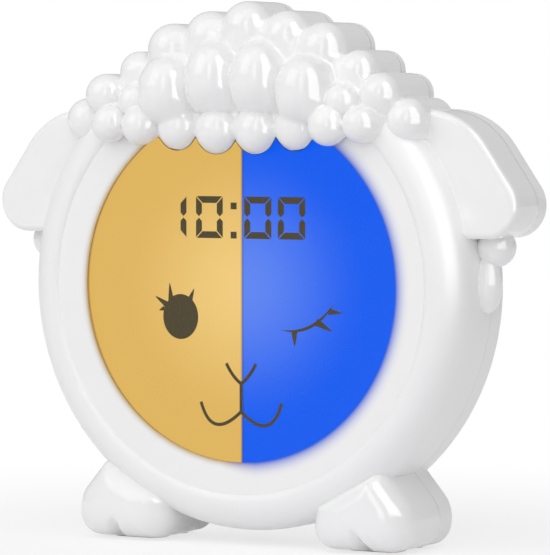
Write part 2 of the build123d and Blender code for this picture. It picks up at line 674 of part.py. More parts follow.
def diffuser(side):
    """Milky half-disc in front of one light chamber."""
    half = Circle(SEAT_R - FIT) & Pos(side * (SEAT_R + FIT), 0) * Rectangle(2 * SEAT_R, 2 * SEAT_R)
    return slab(half, DIFFUSER_Y, DIFFUSER_Y + DIFFUSER_T)


def lamp_places(side):
    """Centres of the lamps on one side, as (x, z)."""
    places = []
    for share, count in zip(LED_RING_SHARES, LED_COUNTS):
        for index in range(count):
            angle = LED_SPREAD * ((index + 0.5) / count - 0.5)
            x, z = on_ring(share * DISPLAY_R, angle)
            places.append((side * x, z))
    return places


def board_boss_places():
    return [on_ring(BOARD_BOSS_RING, angle) for angle in BOARD_BOSS_ANGLES]


def light_box():
    """White tub behind the display, with a wall between its day and night sides."""
    outer = SEAT_R + BOX_WALL
    step_y = SHELF_Y + BOX_WALL
    tub = turned_points((SEAT_R, RING_BACK_Y), (outer, RING_BACK_Y), (outer, step_y),
                        (CHAMBER_R + BOX_WALL, step_y), (CHAMBER_R + BOX_WALL, BOX_BACK_Y),
                        (0, BOX_BACK_Y), (0, BOX_FLOOR_Y), (CHAMBER_R, BOX_FLOOR_Y),
                        (CHAMBER_R, SHELF_Y), (SEAT_R, SHELF_Y))
    tub += block(0, 0, BARRIER_T, 2 * CHAMBER_R + BOX_WALL, SHELF_Y, BOX_FLOOR_Y)
    for angle, (x, z) in zip(TAB_ANGLES, tab_places()):
        reach = hypot(x, z)
        arm = Pos((CHAMBER_R + reach) / 2, 0) * Rectangle(reach - CHAMBER_R, TAB_WIDTH)
        tab = slab(arm + Pos(reach, 0) * Circle(BOSS_R), TAB_Y, TAB_Y + TAB_T)
        tub += Rot(0, -angle, 0) * tab
    boss_front = BOX_FLOOR_Y - BOARD_BOSS_H
    tub += [peg(x, z, BOSS_R, boss_front, BOX_BACK_Y) for x, z in board_boss_places()]
    tub -= [peg(x, z, SMALL_SHANK_R + SCREW_SLIP, boss_front, BOX_BACK_Y) for x, z in board_boss_places()]
    tub -= [peg(x, z, SMALL_SHANK_R + SLIP, TAB_Y, TAB_Y + TAB_T) for x, z in tab_places()]
    hole = LED_SIZE + 2 * LED_WINDOW
    tub -= [block(x, z, hole, hole, BOX_FLOOR_Y, BOX_BACK_Y) for side in (-1, 1)
            for x, z in lamp_places(side)]
    slot_depth = SEAT_R + BOX_WALL - LCD_R + 1
    return tub - block(0, -LCD_R - slot_depth / 2, RIBBON_WIDTH + 2 * SLIP, slot_depth,
                       LCD_Y + LCD_T / 2 - RIBBON_T - SLIP, LCD_Y + LCD_T / 2 + SLIP)


def led_board():
    disc = peg(0, 0, CHAMBER_R + BOX_WALL - 1, LED_BOARD_Y, LED_BOARD_Y + BOARD_T)
    return disc - [peg(x, z, SMALL_SHANK_R + SLIP, LED_BOARD_Y, LED_BOARD_Y + BOARD_T)
                   for x, z in board_boss_places()]


def lamps(side):
    return [block(x, z, LED_SIZE, LED_SIZE, LED_BOARD_Y - LED_T, LED_BOARD_Y)
            for x, z in lamp_places(side)]


def lcd_ribbon():
    """Flat flexible lead from the panel's lower ledge, round the light box, to its plug."""
    start = LCD_Y + LCD_T / 2 - RIBBON_T / 2
    plug_y = LED_BOARD_Y + BOARD_T + PLUG_T / 2
    low = -(SEAT_R + BOX_WALL + RIBBON_DROP)
    path = FilletPolyline((start, -LCD_R + LCD_LEDGE), (start, low), (plug_y, low),
                          (plug_y, PLUG_Z - PLUG_HEIGHT / 2), radius=RIBBON_DROP / 2)
    strip = Plane.YZ * trace(path, RIBBON_T)
    return extrude(strip, amount=RIBBON_WIDTH / 2, both=True)


def ribbon_plug():
    back = LED_BOARD_Y + BOARD_T
    return block(0, PLUG_Z, RIBBON_WIDTH + 3, PLUG_HEIGHT, back, back + PLUG_T)


# --- Works on the back --------------------------------------------------------------
def main_board():
    """Circuit board in a U round the speaker, above the battery tray."""
    disc = Circle(MAIN_BOARD_R) & Pos(0, MAIN_BOARD_LOW_Z + MAIN_BOARD_R) * Rectangle(
        2 * MAIN_BOARD_R, 2 * MAIN_BOARD_R)
    outline = disc - Pos(0, SPEAKER_Z) * Circle(SPEAKER_R + HOOK_T + 1)
    board = slab(outline, MAIN_BOARD_Y, MAIN_BOARD_BACK_Y)
    return board - [peg(x, z, SMALL_SHANK_R + SLIP, MAIN_BOARD_Y, MAIN_BOARD_BACK_Y)
                    for x, z in board_screw_places()]


def board_header():
    """Pin header that carries the main board's lines to the lamp board."""
    front = LED_BOARD_Y + BOARD_T
    width = HEADER_PINS * HEADER_PITCH
    pieces = [block(0, HEADER_Z, width, HEADER_STRIP, MAIN_BOARD_Y - HEADER_STRIP, MAIN_BOARD_Y)]
    pieces.append(block(0, HEADER_Z, width, HEADER_STRIP, front, front + HEADER_STRIP))
    for index in range(HEADER_PINS):
        x = (index + 0.5) * HEADER_PITCH - width / 2
        pieces.append(block(x, HEADER_Z, HEADER_PIN, HEADER_PIN, front + HEADER_STRIP,
                            MAIN_BOARD_Y - HEADER_STRIP))
    return pieces


def clock_chip():
    return block(CHIP_X, CHIP_Z, CHIP_SIZE, CHIP_SIZE, MAIN_BOARD_Y - CHIP_T, MAIN_BOARD_Y)


def crystal():
    """Watch crystal: a small can lying on the board."""
    half = CRYSTAL_LENGTH / 2
    return rod(CRYSTAL_X - half, CRYSTAL_X + half, MAIN_BOARD_Y - CRYSTAL_R, CHIP_Z, CRYSTAL_R)


def capacitors():
    return [peg(x, z, CAPACITOR_R, MAIN_BOARD_Y - CAPACITOR_H, MAIN_BOARD_Y) for x, z in CAPACITOR_PLACES]


def tact_switches():
    switches = []
    for x, z in button_places():
        body = block(x, z, TACT_SIZE, TACT_SIZE, MAIN_BOARD_BACK_Y, MAIN_BOARD_BACK_Y + TACT_T)
        switches.append(body + peg(x, z, TACT_PLUNGER_R, MAIN_BOARD_BACK_Y + TACT_T, TACT_TOP_Y))
    return switches


def button(x, z):
    """Round key: a domed cap, a flange behind the wall and a stem towards its switch."""
    stem_y = TACT_TOP_Y + BUTTON_TRAVEL + FIT
    flange_back = INSIDE_BACK_Y - SLIP
    flange_front = flange_back - BUTTON_FLANGE
    cap = fillet(back_edges(peg(x, z, BUTTON_R, flange_front, BACK_Y + BUTTON_PROUD)), BUTTON_EDGE_ROUND)
    cap += peg(x, z, BUTTON_R + BUTTON_FLANGE, flange_front, flange_back)
    return cap + peg(x, z, BUTTON_STEM_R, stem_y, flange_front)


def lock_knob():
    """Slider: a ridged knob through the wall, on a plate that runs behind it."""
    z = SIDE_Z - KNOB_TRAVEL / 2
    back = INSIDE_BACK_Y - SLIP
    knob = block(-SIDE_X, z, KNOB_WIDTH, KNOB_HEIGHT, back, BACK_Y + KNOB_PROUD)
    knob += block(-SIDE_X, z, KNOB_WIDTH + 2 * KNOB_PLATE_MARGIN, KNOB_HEIGHT + 2 * KNOB_PLATE_MARGIN,
                  back - KNOB_PLATE, back)
    lever_front = MAIN_BOARD_BACK_Y + LOCK_BODY_T + FIT
    knob += block(-SIDE_X, z, KNOB_WIDTH / 2, KNOB_HEIGHT / 2, lever_front, back - KNOB_PLATE)
    for rise in (-1, 0, 1):
        groove = Pos(-SIDE_X, BACK_Y + KNOB_PROUD, z + rise * KNOB_HEIGHT / 3.5)
        knob -= groove * Rot(0, 90, 0) * Cylinder(KNOB_GROOVE_R, KNOB_WIDTH + 1)
    return knob


def lock_switch():
    return block(-SIDE_X, SIDE_Z, KNOB_WIDTH, KNOB_HEIGHT + KNOB_TRAVEL, MAIN_BOARD_BACK_Y,
                 MAIN_BOARD_BACK_Y + LOCK_BODY_T)


def power_socket():
    """Metal shell of the power inlet, open to the back, with a tongue inside."""
    mouth = BACK_Y - SOCKET_SET_BACK
    shell = block(SIDE_X, SIDE_Z, SOCKET_WIDTH, SOCKET_HEIGHT, MAIN_BOARD_BACK_Y, mouth, SOCKET_HEIGHT / 3)
    inner_w, inner_h = SOCKET_WIDTH - 2 * SOCKET_WALL, SOCKET_HEIGHT - 2 * SOCKET_WALL
    shell -= block(SIDE_X, SIDE_Z, inner_w, inner_h, MAIN_BOARD_BACK_Y + SOCKET_BACK, mouth, inner_h / 3)
    return shell + block(SIDE_X, SIDE_Z, inner_w * 0.6, SOCKET_TONGUE, MAIN_BOARD_BACK_Y, mouth - 1)


def speaker_frame():
    """Pressed basket: a flange against the wall and a dish towards the magnet."""
    rim = SPEAKER_R - SPEAKER_FLANGE_W
    front_y = INSIDE_BACK_Y - SPEAKER_FLANGE_T
    deep_y = INSIDE_BACK_Y - SPEAKER_DEPTH
    floor_y = deep_y + SPEAKER_SHEET
    frame = turned_points((SPEAKER_R, INSIDE_BACK_Y), (rim - SPEAKER_SHEET, INSIDE_BACK_Y),
                          (rim - SPEAKER_SHEET, front_y), (MAGNET_R - SPEAKER_SHEET, floor_y),
                          (0, floor_y), (0, deep_y), (MAGNET_R, deep_y), (rim, front_y),
                          (SPEAKER_R, front_y))
    return Pos(0, 0, SPEAKER_Z) * frame


def speaker_cone():
    """Paper cone with a dust cap, held at the basket's rim."""
    rim = SPEAKER_R - SPEAKER_FLANGE_W - SPEAKER_SHEET
    top = INSIDE_BACK_Y - CONE_T
    low = top - CONE_DEPTH
    cone = turned_points((rim - FIT, INSIDE_BACK_Y - FIT), (DUST_CAP_R, low + CONE_T), (0, low + CONE_T),
                         (0, low), (DUST_CAP_R, low), (rim - 3 * CONE_T, top - CONE_T),
                         (rim - CONE_T - FIT, top))
    cap = turned_points((0, low + CONE_T), (DUST_CAP_R, low + CONE_T),
                        (DUST_CAP_R / 2, low + CONE_T + DUST_CAP_H), (0, low + CONE_T + DUST_CAP_H))
    return Pos(0, 0, SPEAKER_Z) * (cone + cap)


def speaker_magnet():
    deep_y = INSIDE_BACK_Y - SPEAKER_DEPTH
    body = peg(0, SPEAKER_Z, MAGNET_R, deep_y - MAGNET_T, deep_y)
    return chamfer(front_edges(body), MAGNET_EDGE)


# --- Batteries ----------------------------------------------------------------------
def cell_rows():
    """Each cell as (z, direction of its positive end)."""
    middle = (CELL_COUNT - 1) / 2
    return [(BAY_Z + (index - middle) * CELL_PITCH, 1 if index % 2 == 0 else -1)
            for index in range(CELL_COUNT)]


def cell(z, direction):
    nub_end = direction * (BAY_HALF_X - CONTACT_T - CELL_SLACK)
    can_end = nub_end - direction * CELL_NUB
    can = rod(can_end - direction * CELL_LENGTH, can_end, CELL_Y, z, CELL_R)
    can = fillet(can.edges().filter_by(GeomType.CIRCLE), CELL_EDGE_ROUND)
    return can + rod(can_end - direction, nub_end, CELL_Y, z, CELL_NUB_R)


def contact_plates():
    """Sprung-steel plates on the tray's end walls."""
    plates = []
    for z, _ in cell_rows():
        for side in (-1, 1):
            x = side * (BAY_HALF_X - CONTACT_T / 2)
            plates.append(Pos(x, CELL_Y, z) * Box(CONTACT_T, 1.5 * CELL_R, 1.5 * CELL_R))
    return plates


def contact_springs():
    """Coil springs at the cells' flat ends, drawn as a stack of wire rings on a cone."""
    springs = []
    for z, direction in cell_rows():
        start = -direction * (BAY_HALF_X - CONTACT_T)
        step = SPRING_LENGTH / SPRING_TURNS
        profile = []
        for turn in range(SPRING_TURNS):
            radius = SPRING_R * (1 - (1 - SPRING_TIP) * turn / SPRING_TURNS)
            profile += [(turn * step, radius - WIRE_R), ((turn + 0.5) * step, radius + WIRE_R)]
        tip = SPRING_R * SPRING_TIP
        outline = [(0, tip - WIRE_R)] + profile + [(SPRING_LENGTH, tip), (SPRING_LENGTH, tip - WIRE_R)]
        coil = revolve(Plane.XY * make_face(Polyline(*outline, close=True)), Axis.X)
        springs.append(Pos(start, CELL_Y, z) * (coil if direction > 0 else mirror(coil, Plane.YZ)))
    return springs


def battery_door():
    """Door with two locating ribs and a screw lobe."""
    door = slab(door_outline(0), DOOR_Y, BACK_Y)
    rib_z = BAY_Z + BAY_HALF_Z - SLIP - RIB_T / 2
    door += [block(side * RIB_X, rib_z, RIB_WIDTH, RIB_T, DOOR_Y - RIB_REACH, DOOR_Y) for side in (-1, 1)]
    door -= peg(0, DOOR_SCREW_Z, SMALL_SHANK_R + SLIP, DOOR_Y, BACK_Y)
    return door - peg(0, DOOR_SCREW_Z, SMALL_HEAD_R + SLIP, BACK_Y - SMALL_HEAD_T, BACK_Y)


def door_screw():
    return small_screws([(0, DOOR_SCREW_Z)], BACK_Y - SMALL_HEAD_T, 1, SMALL_SCREW_LENGTH - DOOR_T)


# --- Write every piece --------------------------------------------------------------
def write(name, piece):
    """Move a piece, or a list of like pieces, to the clock's frame and write it."""
    solids = [solid for item in (piece if isinstance(piece, list) else [piece]) for solid in item.solids()]
    moved = [TO_FRAME * solid for solid in solids]
    export_step(moved[0] if len(moved) == 1 else Compound(children=moved), f"parts/{name}.step")


write("front_shell", front_shell())
write("rear_shell", rear_shell())
write("foot_pads", foot_pads())
write("case_screws", case_screws())
write("bezel_ring", bezel_ring())
write("display_window", window())
write("lcd_panel", lcd_panel())
write("day_diffuser", diffuser(-1))
write("night_diffuser", diffuser(1))
write("light_box", light_box())
write("light_box_screws", small_screws(tab_places(), TAB_Y + TAB_T, 1))
write("led_board", led_board())
write("led_board_screws", small_screws(board_boss_places(), LED_BOARD_Y + BOARD_T, 1))
write("amber_leds", lamps(-1))
write("blue_leds", lamps(1))
write("lcd_ribbon", lcd_ribbon())
write("ribbon_plug", ribbon_plug())
write("board_header", board_header())
write("main_board", main_board())
write("main_board_screws", small_screws(board_screw_places(), MAIN_BOARD_Y, -1))
write("clock_chip", clock_chip())
write("crystal", crystal())
write("capacitors", capacitors())
write("tact_switches", tact_switches())
write("lock_switch", lock_switch())
write("lock_knob", lock_knob())
write("power_socket", power_socket())
write("speaker_frame", speaker_frame())
write("speaker_cone", speaker_cone())
write("speaker_magnet", speaker_magnet())
write("contact_plates", contact_plates())
write("contact_springs", contact_springs())
write("battery_door", battery_door())
write("door_screw", door_screw())
for number, (z, direction) in enumerate(cell_rows(), start=1):
    write(f"battery_cell_{number}", cell(z, direction))
for name, (x, z) in zip(BUTTON_NAMES, button_places()):
    write(f"button_{name}", button(x, z))
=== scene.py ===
import json

import bpy
import numpy as np
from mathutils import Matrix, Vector

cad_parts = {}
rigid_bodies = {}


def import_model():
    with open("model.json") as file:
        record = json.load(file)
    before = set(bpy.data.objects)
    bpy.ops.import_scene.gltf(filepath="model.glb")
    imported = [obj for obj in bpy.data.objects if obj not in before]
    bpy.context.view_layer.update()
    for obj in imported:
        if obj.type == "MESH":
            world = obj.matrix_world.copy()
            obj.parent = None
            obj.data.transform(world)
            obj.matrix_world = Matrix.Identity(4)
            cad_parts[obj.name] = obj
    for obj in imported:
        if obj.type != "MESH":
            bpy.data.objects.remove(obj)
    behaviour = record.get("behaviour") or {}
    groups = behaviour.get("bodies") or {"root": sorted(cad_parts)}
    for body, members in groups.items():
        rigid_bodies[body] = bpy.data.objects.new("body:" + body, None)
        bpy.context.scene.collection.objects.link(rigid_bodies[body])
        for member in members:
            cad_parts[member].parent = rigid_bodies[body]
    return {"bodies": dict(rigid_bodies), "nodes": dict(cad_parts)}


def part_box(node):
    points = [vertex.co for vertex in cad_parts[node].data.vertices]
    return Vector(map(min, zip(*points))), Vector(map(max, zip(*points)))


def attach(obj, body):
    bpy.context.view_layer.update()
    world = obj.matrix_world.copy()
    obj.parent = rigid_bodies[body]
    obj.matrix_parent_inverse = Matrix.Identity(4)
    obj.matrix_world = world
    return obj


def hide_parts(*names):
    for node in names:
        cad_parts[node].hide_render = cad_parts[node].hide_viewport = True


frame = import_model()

bl_info = {
    "name": "Kids' Alarm Clock with Night Light",
    "version": (1, 0, 0),
    "blender": (4, 5, 0),
    "location": "View3D > Sidebar > Clock",
    "description": "Dresses a child's bedside clock: its woolly casing, lit display, finishes and stage",
    "category": "Add Mesh",
}

# Shapes are worked out in millimetres about the middle of the display: X to the right,
# Y from the front to the back, Z up. placed() moves them into the frame, in metres.
MM = 0.001
WINDOW_FRONT_Y = 0.5      # front of the clear window
TINY = 1e-9
SHARP_ANGLE = np.radians(50.0)   # edges that turn more than this stay sharp
SIDES = {"left": -1, "right": 1}


def clear_start_scene():
    """Removes whatever a new Blender file holds besides the frame."""
    kept = set(frame["nodes"].values()) | set(frame["bodies"].values())
    for thing in [thing for thing in bpy.data.objects if thing not in kept]:
        bpy.data.objects.remove(thing)


def display_origin():
    """Middle of the display on the datum plane, in the frame's millimetres."""
    low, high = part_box("bezel_ring")
    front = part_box("display_window")[0].y / MM - WINDOW_FRONT_Y
    return np.array([(low.x + high.x) / 2 / MM, front, (low.z + high.z) / 2 / MM])


clear_start_scene()
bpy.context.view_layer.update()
ORIGIN = display_origin()

# --- Casing, front half -------------------------------------------------------------
DISPLAY_R = 52.0          # radius of the lit face
BORE_R = 61.5             # foot of the rim's inner slope, on the ring's rounded edge
RIM_R = 63.6              # crest of the rim
DRUM_R = 72.6
RIM_CREST_Y = -2.0
RIM_FALL = 0.4            # how far the rim's inner edge lies behind the crest
RIM_DEPTH = 10.0          # depth of the quarter-round from the crest to the side
WALL = 2.2
# Rounded lip inside the rim, as (outside BORE_R, behind the lip's plane), from the bore outwards.
LIP = [(0.0, 0.8), (0.0, 0.5), (0.25, 0.3), (0.6, 0.02), (1.1, -0.22)]
LIP_END = (-0.45, 0.04)   # its last point, from the rim's crest
PARTING_Y = 21.2          # where the front half ends
SOLE_Z = -76.3
EDGE_BREAK = 0.12         # small round at the parting line, which catches the light

# --- Wool: one half, each curl as (degrees from upright, centre inside the drum's radius,
# y, radius, half height, drop); the other half mirrors it. A curl with a drop keeps its width below
# its middle, and its front has come back to its middle at that depth. The rest are eggs and balls.
FRINGE = [(8.1, 26.2, 0.2, 7.2, 7.2, 0.0), (23.0, 22.0, 0.2, 6.8, 6.8, 0.0),
          (33.7, 15.9, -3.0, 5.9, 5.9, 0.0), (41.5, 9.0, -3.0, 5.6, 5.6, 0.0)]
MIDDLE = [(7.1, 11.0, -2.2, 8.3, 10.7, 10.2), (21.9, 10.3, -2.4, 8.5, 9.9, 10.4),
          (32.7, 8.0, -0.9, 5.1, 5.1, 0.0)]
CROWN = [(0.0, -3.3, 6.3, 7.9, 7.9, 14.0), (10.0, -1.8, 6.6, 7.7, 7.7, 14.0),
         (20.0, -1.6, 6.0, 7.7, 7.7, 13.0), (30.4, -0.7, 6.1, 6.0, 6.0, 10.0),
         (39.4, -0.2, 1.8, 6.3, 6.3, 0.0), (47.8, -0.2, 4.0, 6.4, 6.4, 0.0)]
CURL_RETREAT = 3.0        # slope with which such a curl runs on back below its drop
CURL_TILT = 0.35          # rays that climb or fall more than this meet it as an egg or ball
WOOL_END = 56.0           # degrees from upright where the wool's surface ends, inside the drum
FRINGE_SINK = (43.8, 2.6, 9.0)   # where the web of the fringe sinks into the drum: from, over, how deep
CROWN_SINK = (47.0, 4.0, 7.0)    # the same for the web of the crown
FRINGE_BACK_Y = -1.7      # flat back of the fringe, just clear of the ring
PLATE_FRONT_Y = -2.4      # front of the web between the curls of the fringe
WEB_Y = 1.0               # front of the web between the curls of the crown
WEB_EDGE = 0.3            # how far the web stands out past the curls' middles
WEB_LEAST = 0.3           # least distance of the web's front from them
REACH_LEAST = 0.05        # least length of a ray
BACKWARD = 0.3            # rays that climb more than this meet the crown's curls as bars behind
FRINGE_TURN = 1.5         # rows about the fringe's middles, as a multiple of a quarter turn's
WOOL_INSIDE = [(69.5, PARTING_Y), (67.0, 5.0), (63.5, 1.0)]   # rows that close the wool, (radius, y)
CURL_DRAFT = 3.0          # steepness of a curl's side below its widest line
FRINGE_MIDDLE_Y = -2.1    # line that the fringe's rays turn about, just in front of its back
# Curl and lock under each ear, as (x beyond the drum, y, z, radius, half height).
CHEEKS = [(3.0, 17.5, 12.2, 5.8, 5.8), (0.9, 16.2, 1.6, 4.3, 8.6)]

# --- Ears: corners as (x beyond the drum, z, rounding) --------------------------------
EAR_CORNERS = [(-24.0, 52.0, 3.0), (-2.4, 52.0, 24.0), (23.2, 14.8, 9.5), (-12.1, 14.8, 3.0)]
EAR_Y = 6.0
EAR_EDGE = 2.0            # rounding of the ear's edge
EAR_CORE = (-10.0, 33.0)  # place inside the drum that the ear's face runs in to, as a corner is given
EAR_DISH = 0.8            # depth of the shallow dish in its face
EAR_SLOPE = 0.6           # width of the dish's slope, as a share of the way to the core
EAR_ROWS = 32             # rows from the ear's edge to its core

# --- Feet: corners as (x, height above the sole, rounding) ----------------------------
FOOT_CORNERS = [(23.2, 0.0, 6.5), (55.1, 0.0, 7.0), (56.5, 11.5, 11.0), (46.0, 24.0, 3.0),
                (25.0, 12.5, 3.0)]
FOOT_CORE = (40.3, 10.5)  # x and height of the toes' middle
FOOT_Y = -5.0
FOOT_DEPTH = 10.0         # how far back the round of the toes goes
FOOT_FULLNESS = 3.0       # 2 is a plain dome, more is fuller with a tighter edge
FOOT_HALF = 13.0          # about half a foot's height and width, which the parting line's round is set by
CLEFT_X = 42.2
CLEFT_LEAN = 2.4          # how far the cleft's tip stands towards the middle
CLEFT_HEIGHT = 8.0
CLEFT_WIDTH = 1.5
CLEFT_TAPER = (1.15, 0.6) # share of that width at the sole, and how much of it is lost at the top
CLEFT_ONSET = 1.6         # how soon the groove deepens in front of the foot's side
CLEFT_DEPTH = 4.2

# --- Display: places on the liquid crystal, x and z ----------------------------------
CRYSTAL_Y = 2.4           # between the window and the glass
CRYSTAL_T = 0.06
DIGIT_RIGHT_EDGES = (-18.9, -6.5, 9.9, 21.2)
DIGIT_WIDTH = 9.1
DIGIT_HEIGHT = 12.4
DIGIT_Z = 20.1
STROKE = 2.0
STROKE_GAP = 0.45
COLON_X = -2.8
COLON_Z = 19.2
COLON_RISE = 4.3
COLON_SIDE = 2.0
TIME = "10:00"
SEGMENTS = {"0": "abcdef", "1": "bc"}

EYE = (-20.9, -9.6)
EYE_RADII = (6.0, 6.7)
OPEN_LASHES = [((-24.2, -4.8), (-24.7, 0.3), 1.8), ((-17.9, -5.0), (-16.3, -1.2), 1.8),
               ((-25.6, -6.2), (-29.6, -3.7), 1.8), ((-26.4, -7.2), (-28.3, -7.9), 1.4)]
WINK = ((13.0, -12.6), (23.6, -14.6), (31.0, -4.2))
WINK_WIDTH = 0.9
WINK_LASHES = [((17.6, -12.8), (17.7, -17.4), 2.0), ((24.8, -10.0), (30.3, -12.7), 2.2),
               ((28.9, -6.9), (33.5, -7.2), 1.8)]
NOSE_ARMS = [((-5.3, -23.0), (-3.2, -27.0), (-0.3, -28.9)),
             ((4.7, -22.9), (2.6, -27.0), (-0.3, -28.9))]
STEM = ((-0.3, -28.4), (-0.3, -33.0), (-0.3, -37.4))
MOUTH = [((-0.3, -37.2), (-10.4, -46.4), (-13.9, -34.7)),
         ((-0.3, -37.2), (9.8, -46.2), (13.4, -34.2))]
FACE_STROKE = 1.0
PATH_POINTS = 24          # points along a drawn curve


# --- Mesh helpers -------------------------------------------------------------------
def placed(points):
    """Millimetres about the display's middle to the frame's metres."""
    return (np.asarray(points) + ORIGIN) * MM


def smooth_step(value):
    """0 below 0, 1 above 1, and 3t^2 - 2t^3 between."""
    t = np.clip(value, 0.0, 1.0)
    return t * t * (3.0 - 2.0 * t)


def soft_largest(values, softness):
    """Largest of several arrays with a rounded changeover: softness * log(sum(exp(v / softness)))."""
    stack = np.stack(values)
    top = stack.max(axis=0)
    return top + softness * np.log(np.exp((stack - top) / softness).sum(axis=0))


def grid_faces(rows, columns, close_rows, close_columns):
    """Quads that join a grid's points, row by row, round either way where it is closed."""
    r = np.arange(rows if close_rows else rows - 1)[:, None]
    c = np.arange(columns if close_columns else columns - 1)[None, :]
    r_next, c_next = (r + 1) % rows, (c + 1) % columns
    corners = [r * columns + c, r * columns + c_next, r_next * columns + c_next, r_next * columns + c]
    return np.stack(corners, axis=-1).reshape(-1, 4)


def surface(grid, close_rows=False, close_columns=True, caps=()):
    """Grid of points (row, column, xyz) as (points, quads, triangles). A cap closes row 0 or -1
    with a fan round the middle of that row's points."""
    rows, columns = grid.shape[:2]
    points = grid.reshape(-1, 3)
    fans = []
    for cap in caps:
        row = np.arange(columns) + (cap % rows) * columns
        points = np.vstack([points, points[row].mean(axis=0)])
        around = np.roll(row, -1) if cap == 0 else row
        onward = row if cap == 0 else np.roll(row, -1)
        fans.append(np.stack([onward, around, np.full(columns, len(points) - 1)], axis=-1))
    fans = np.vstack(fans) if fans else np.zeros((0, 3), int)
    return points, grid_faces(rows, columns, close_rows, close_columns), fans


def facing_out(points, quads, fans):
    """Quads and triangles turned so that the volume inside them is positive."""
    triangles = np.vstack([quads[:, [0, 1, 2]], quads[:, [0, 2, 3]], fans])
    a, b, c = (points[triangles[:, corner]] for corner in range(3))
    volume = np.einsum("ij,ij->", a, np.cross(b, c))
    return (quads, fans) if volume > 0 else (quads[:, ::-1], fans[:, ::-1])


def add_piece(name, shapes, material, stands_for=()):
    """Makes one object of closed surfaces, gives it its finish and joins it to the frame."""
    points, faces, start = [], [], 0
    for shape in shapes:
        quads, fans = facing_out(*shape)
        points.append(placed(shape[0]))
        faces += (quads + start).tolist() + (fans + start).tolist()
        start += len(shape[0])
    mesh = bpy.data.meshes.new(name)
    mesh.from_pydata(np.vstack(points), [], faces)
    mesh.polygons.foreach_set("use_smooth", [True] * len(mesh.polygons))
    mesh.set_sharp_from_angle(angle=SHARP_ANGLE)
    mesh.materials.append(material)
    piece = bpy.data.objects.new(name, mesh)
    bpy.context.scene.collection.objects.link(piece)
    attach(piece, "clock")
    if stands_for:
        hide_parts(*stands_for)


def add_front(name, shapes, material):
    """Makes one object that stands for part of the casing's front half."""
    add_piece(name, shapes, material, stands_for=["front_shell"])


def rounded_outline(corners, step=0.6):
    """Closed outline through corners (x, z, radius): straight runs and arcs, a point each step.
    An arc touches both runs at radius * tan(turn / 2) from its corner."""
    spots = np.array([corner[:2] for corner in corners])
    points = []
    for index, (x, z, radius) in enumerate(corners):
        here = np.array([x, z])
        before = spots[index - 1] - here
        after = spots[(index + 1) % len(corners)] - here
        before, after = before / np.linalg.norm(before), after / np.linalg.norm(after)
        half = np.arccos(np.clip(before @ after, -1, 1)) / 2
        middle = here + (before + after) / np.linalg.norm(before + after) * radius / np.sin(half)
        reach = radius / np.tan(half)
        start, end = here + before * reach - middle, here + after * reach - middle
        first = np.arctan2(start[1], start[0])
        turn = (np.arctan2(end[1], end[0]) - first + np.pi) % (2 * np.pi) - np.pi
        angles = first + turn * np.linspace(0, 1, max(3, int(abs(turn) * radius / step) + 2))
        points.append(middle + radius * np.stack([np.cos(angles), np.sin(angles)], axis=-1))
    bends = np.vstack(points)
    gaps = np.linalg.norm(np.roll(bends, -1, axis=0) - bends, axis=1)
    filled = []
    for spot, onward, gap in zip(bends, np.roll(bends, -1, axis=0), gaps):
        share = np.arange(max(1, int(gap / step))) / max(1, int(gap / step))
        filled.append(spot + (onward - spot) * share[:, None])
    return np.vstack(filled)


def outward(outline):
    """Unit normals of a closed outline, pointing out of it."""
    along = np.roll(outline, -1, axis=0) - np.roll(outline, 1, axis=0)
    normal = np.stack([along[:, 1], -along[:, 0]], axis=-1)
    normal /= np.linalg.norm(normal, axis=1, keepdims=True) + TINY
    area = np.sum(outline[:, 0] * np.roll(outline[:, 1], -1) - np.roll(outline[:, 0], -1) * outline[:, 1])
    return normal * np.sign(area)


def bezier(path):
    """Curve of the second order through its first and last points: (1-t)^2 a + 2t(1-t) b + t^2 c."""
    a, b, c = (np.array(point, float) for point in path)
    t = np.linspace(0, 1, PATH_POINTS)[:, None]
    return (1 - t) ** 2 * a + 2 * t * (1 - t) * b + t ** 2 * c


# --- Casing surfaces ----------------------------------------------------------------
def quarter(centre_r, centre_y, reach_r, reach_y, count=40):
    """Quarter of an ellipse from its most forward point out to its widest, as (radius, y)."""
    t = np.linspace(0, np.pi / 2, count)
    return np.stack([centre_r + reach_r * np.sin(t), centre_y - reach_y * np.cos(t)], axis=-1)


def drum_profile():
    """Section of the drum's wall as (radius, y): lip, crest, quarter-round, side, and the same
    inside, one wall further in."""
    turn_y = RIM_CREST_Y + RIM_DEPTH
    lip_y = RIM_CREST_Y + RIM_FALL
    lip = [(BORE_R + out, lip_y + behind) for out, behind in LIP]
    lip.append((RIM_R + LIP_END[0], RIM_CREST_Y + LIP_END[1]))
    outside = quarter(RIM_R, turn_y, DRUM_R - RIM_R, RIM_DEPTH)
    side = [(DRUM_R, y) for y in np.linspace(turn_y + 0.5, PARTING_Y - EDGE_BREAK, 12)]
    edge = [(DRUM_R - EDGE_BREAK * 0.3, PARTING_Y - EDGE_BREAK * 0.3), (DRUM_R - EDGE_BREAK, PARTING_Y)]
    inside = quarter(RIM_R, turn_y, DRUM_R - RIM_R - WALL, RIM_DEPTH - WALL)[::-1]
    return np.vstack([lip, outside, side, edge, [(DRUM_R - WALL, PARTING_Y)], inside])


def drum_surface():
    """The drum's section turned round Y: (r sin a, y, r cos a)."""
    radius, y = drum_profile().T[:, :, None]
    angle = np.linspace(0, 2 * np.pi, 360, endpoint=False)[None, :]
    grid = np.stack([radius * np.sin(angle), y + 0 * angle, radius * np.cos(angle)], axis=-1)
    return surface(grid, close_rows=True)


def mirrored(row):
    """Both halves of a row of curls as arrays: degrees, distance from the axis, y, radius, half height."""
    left = [(-turn, *rest) for turn, *rest in reversed(row) if turn > 0]
    curls = np.array(left + row)
    curls[:, 1] = DRUM_R - curls[:, 1]
    return curls


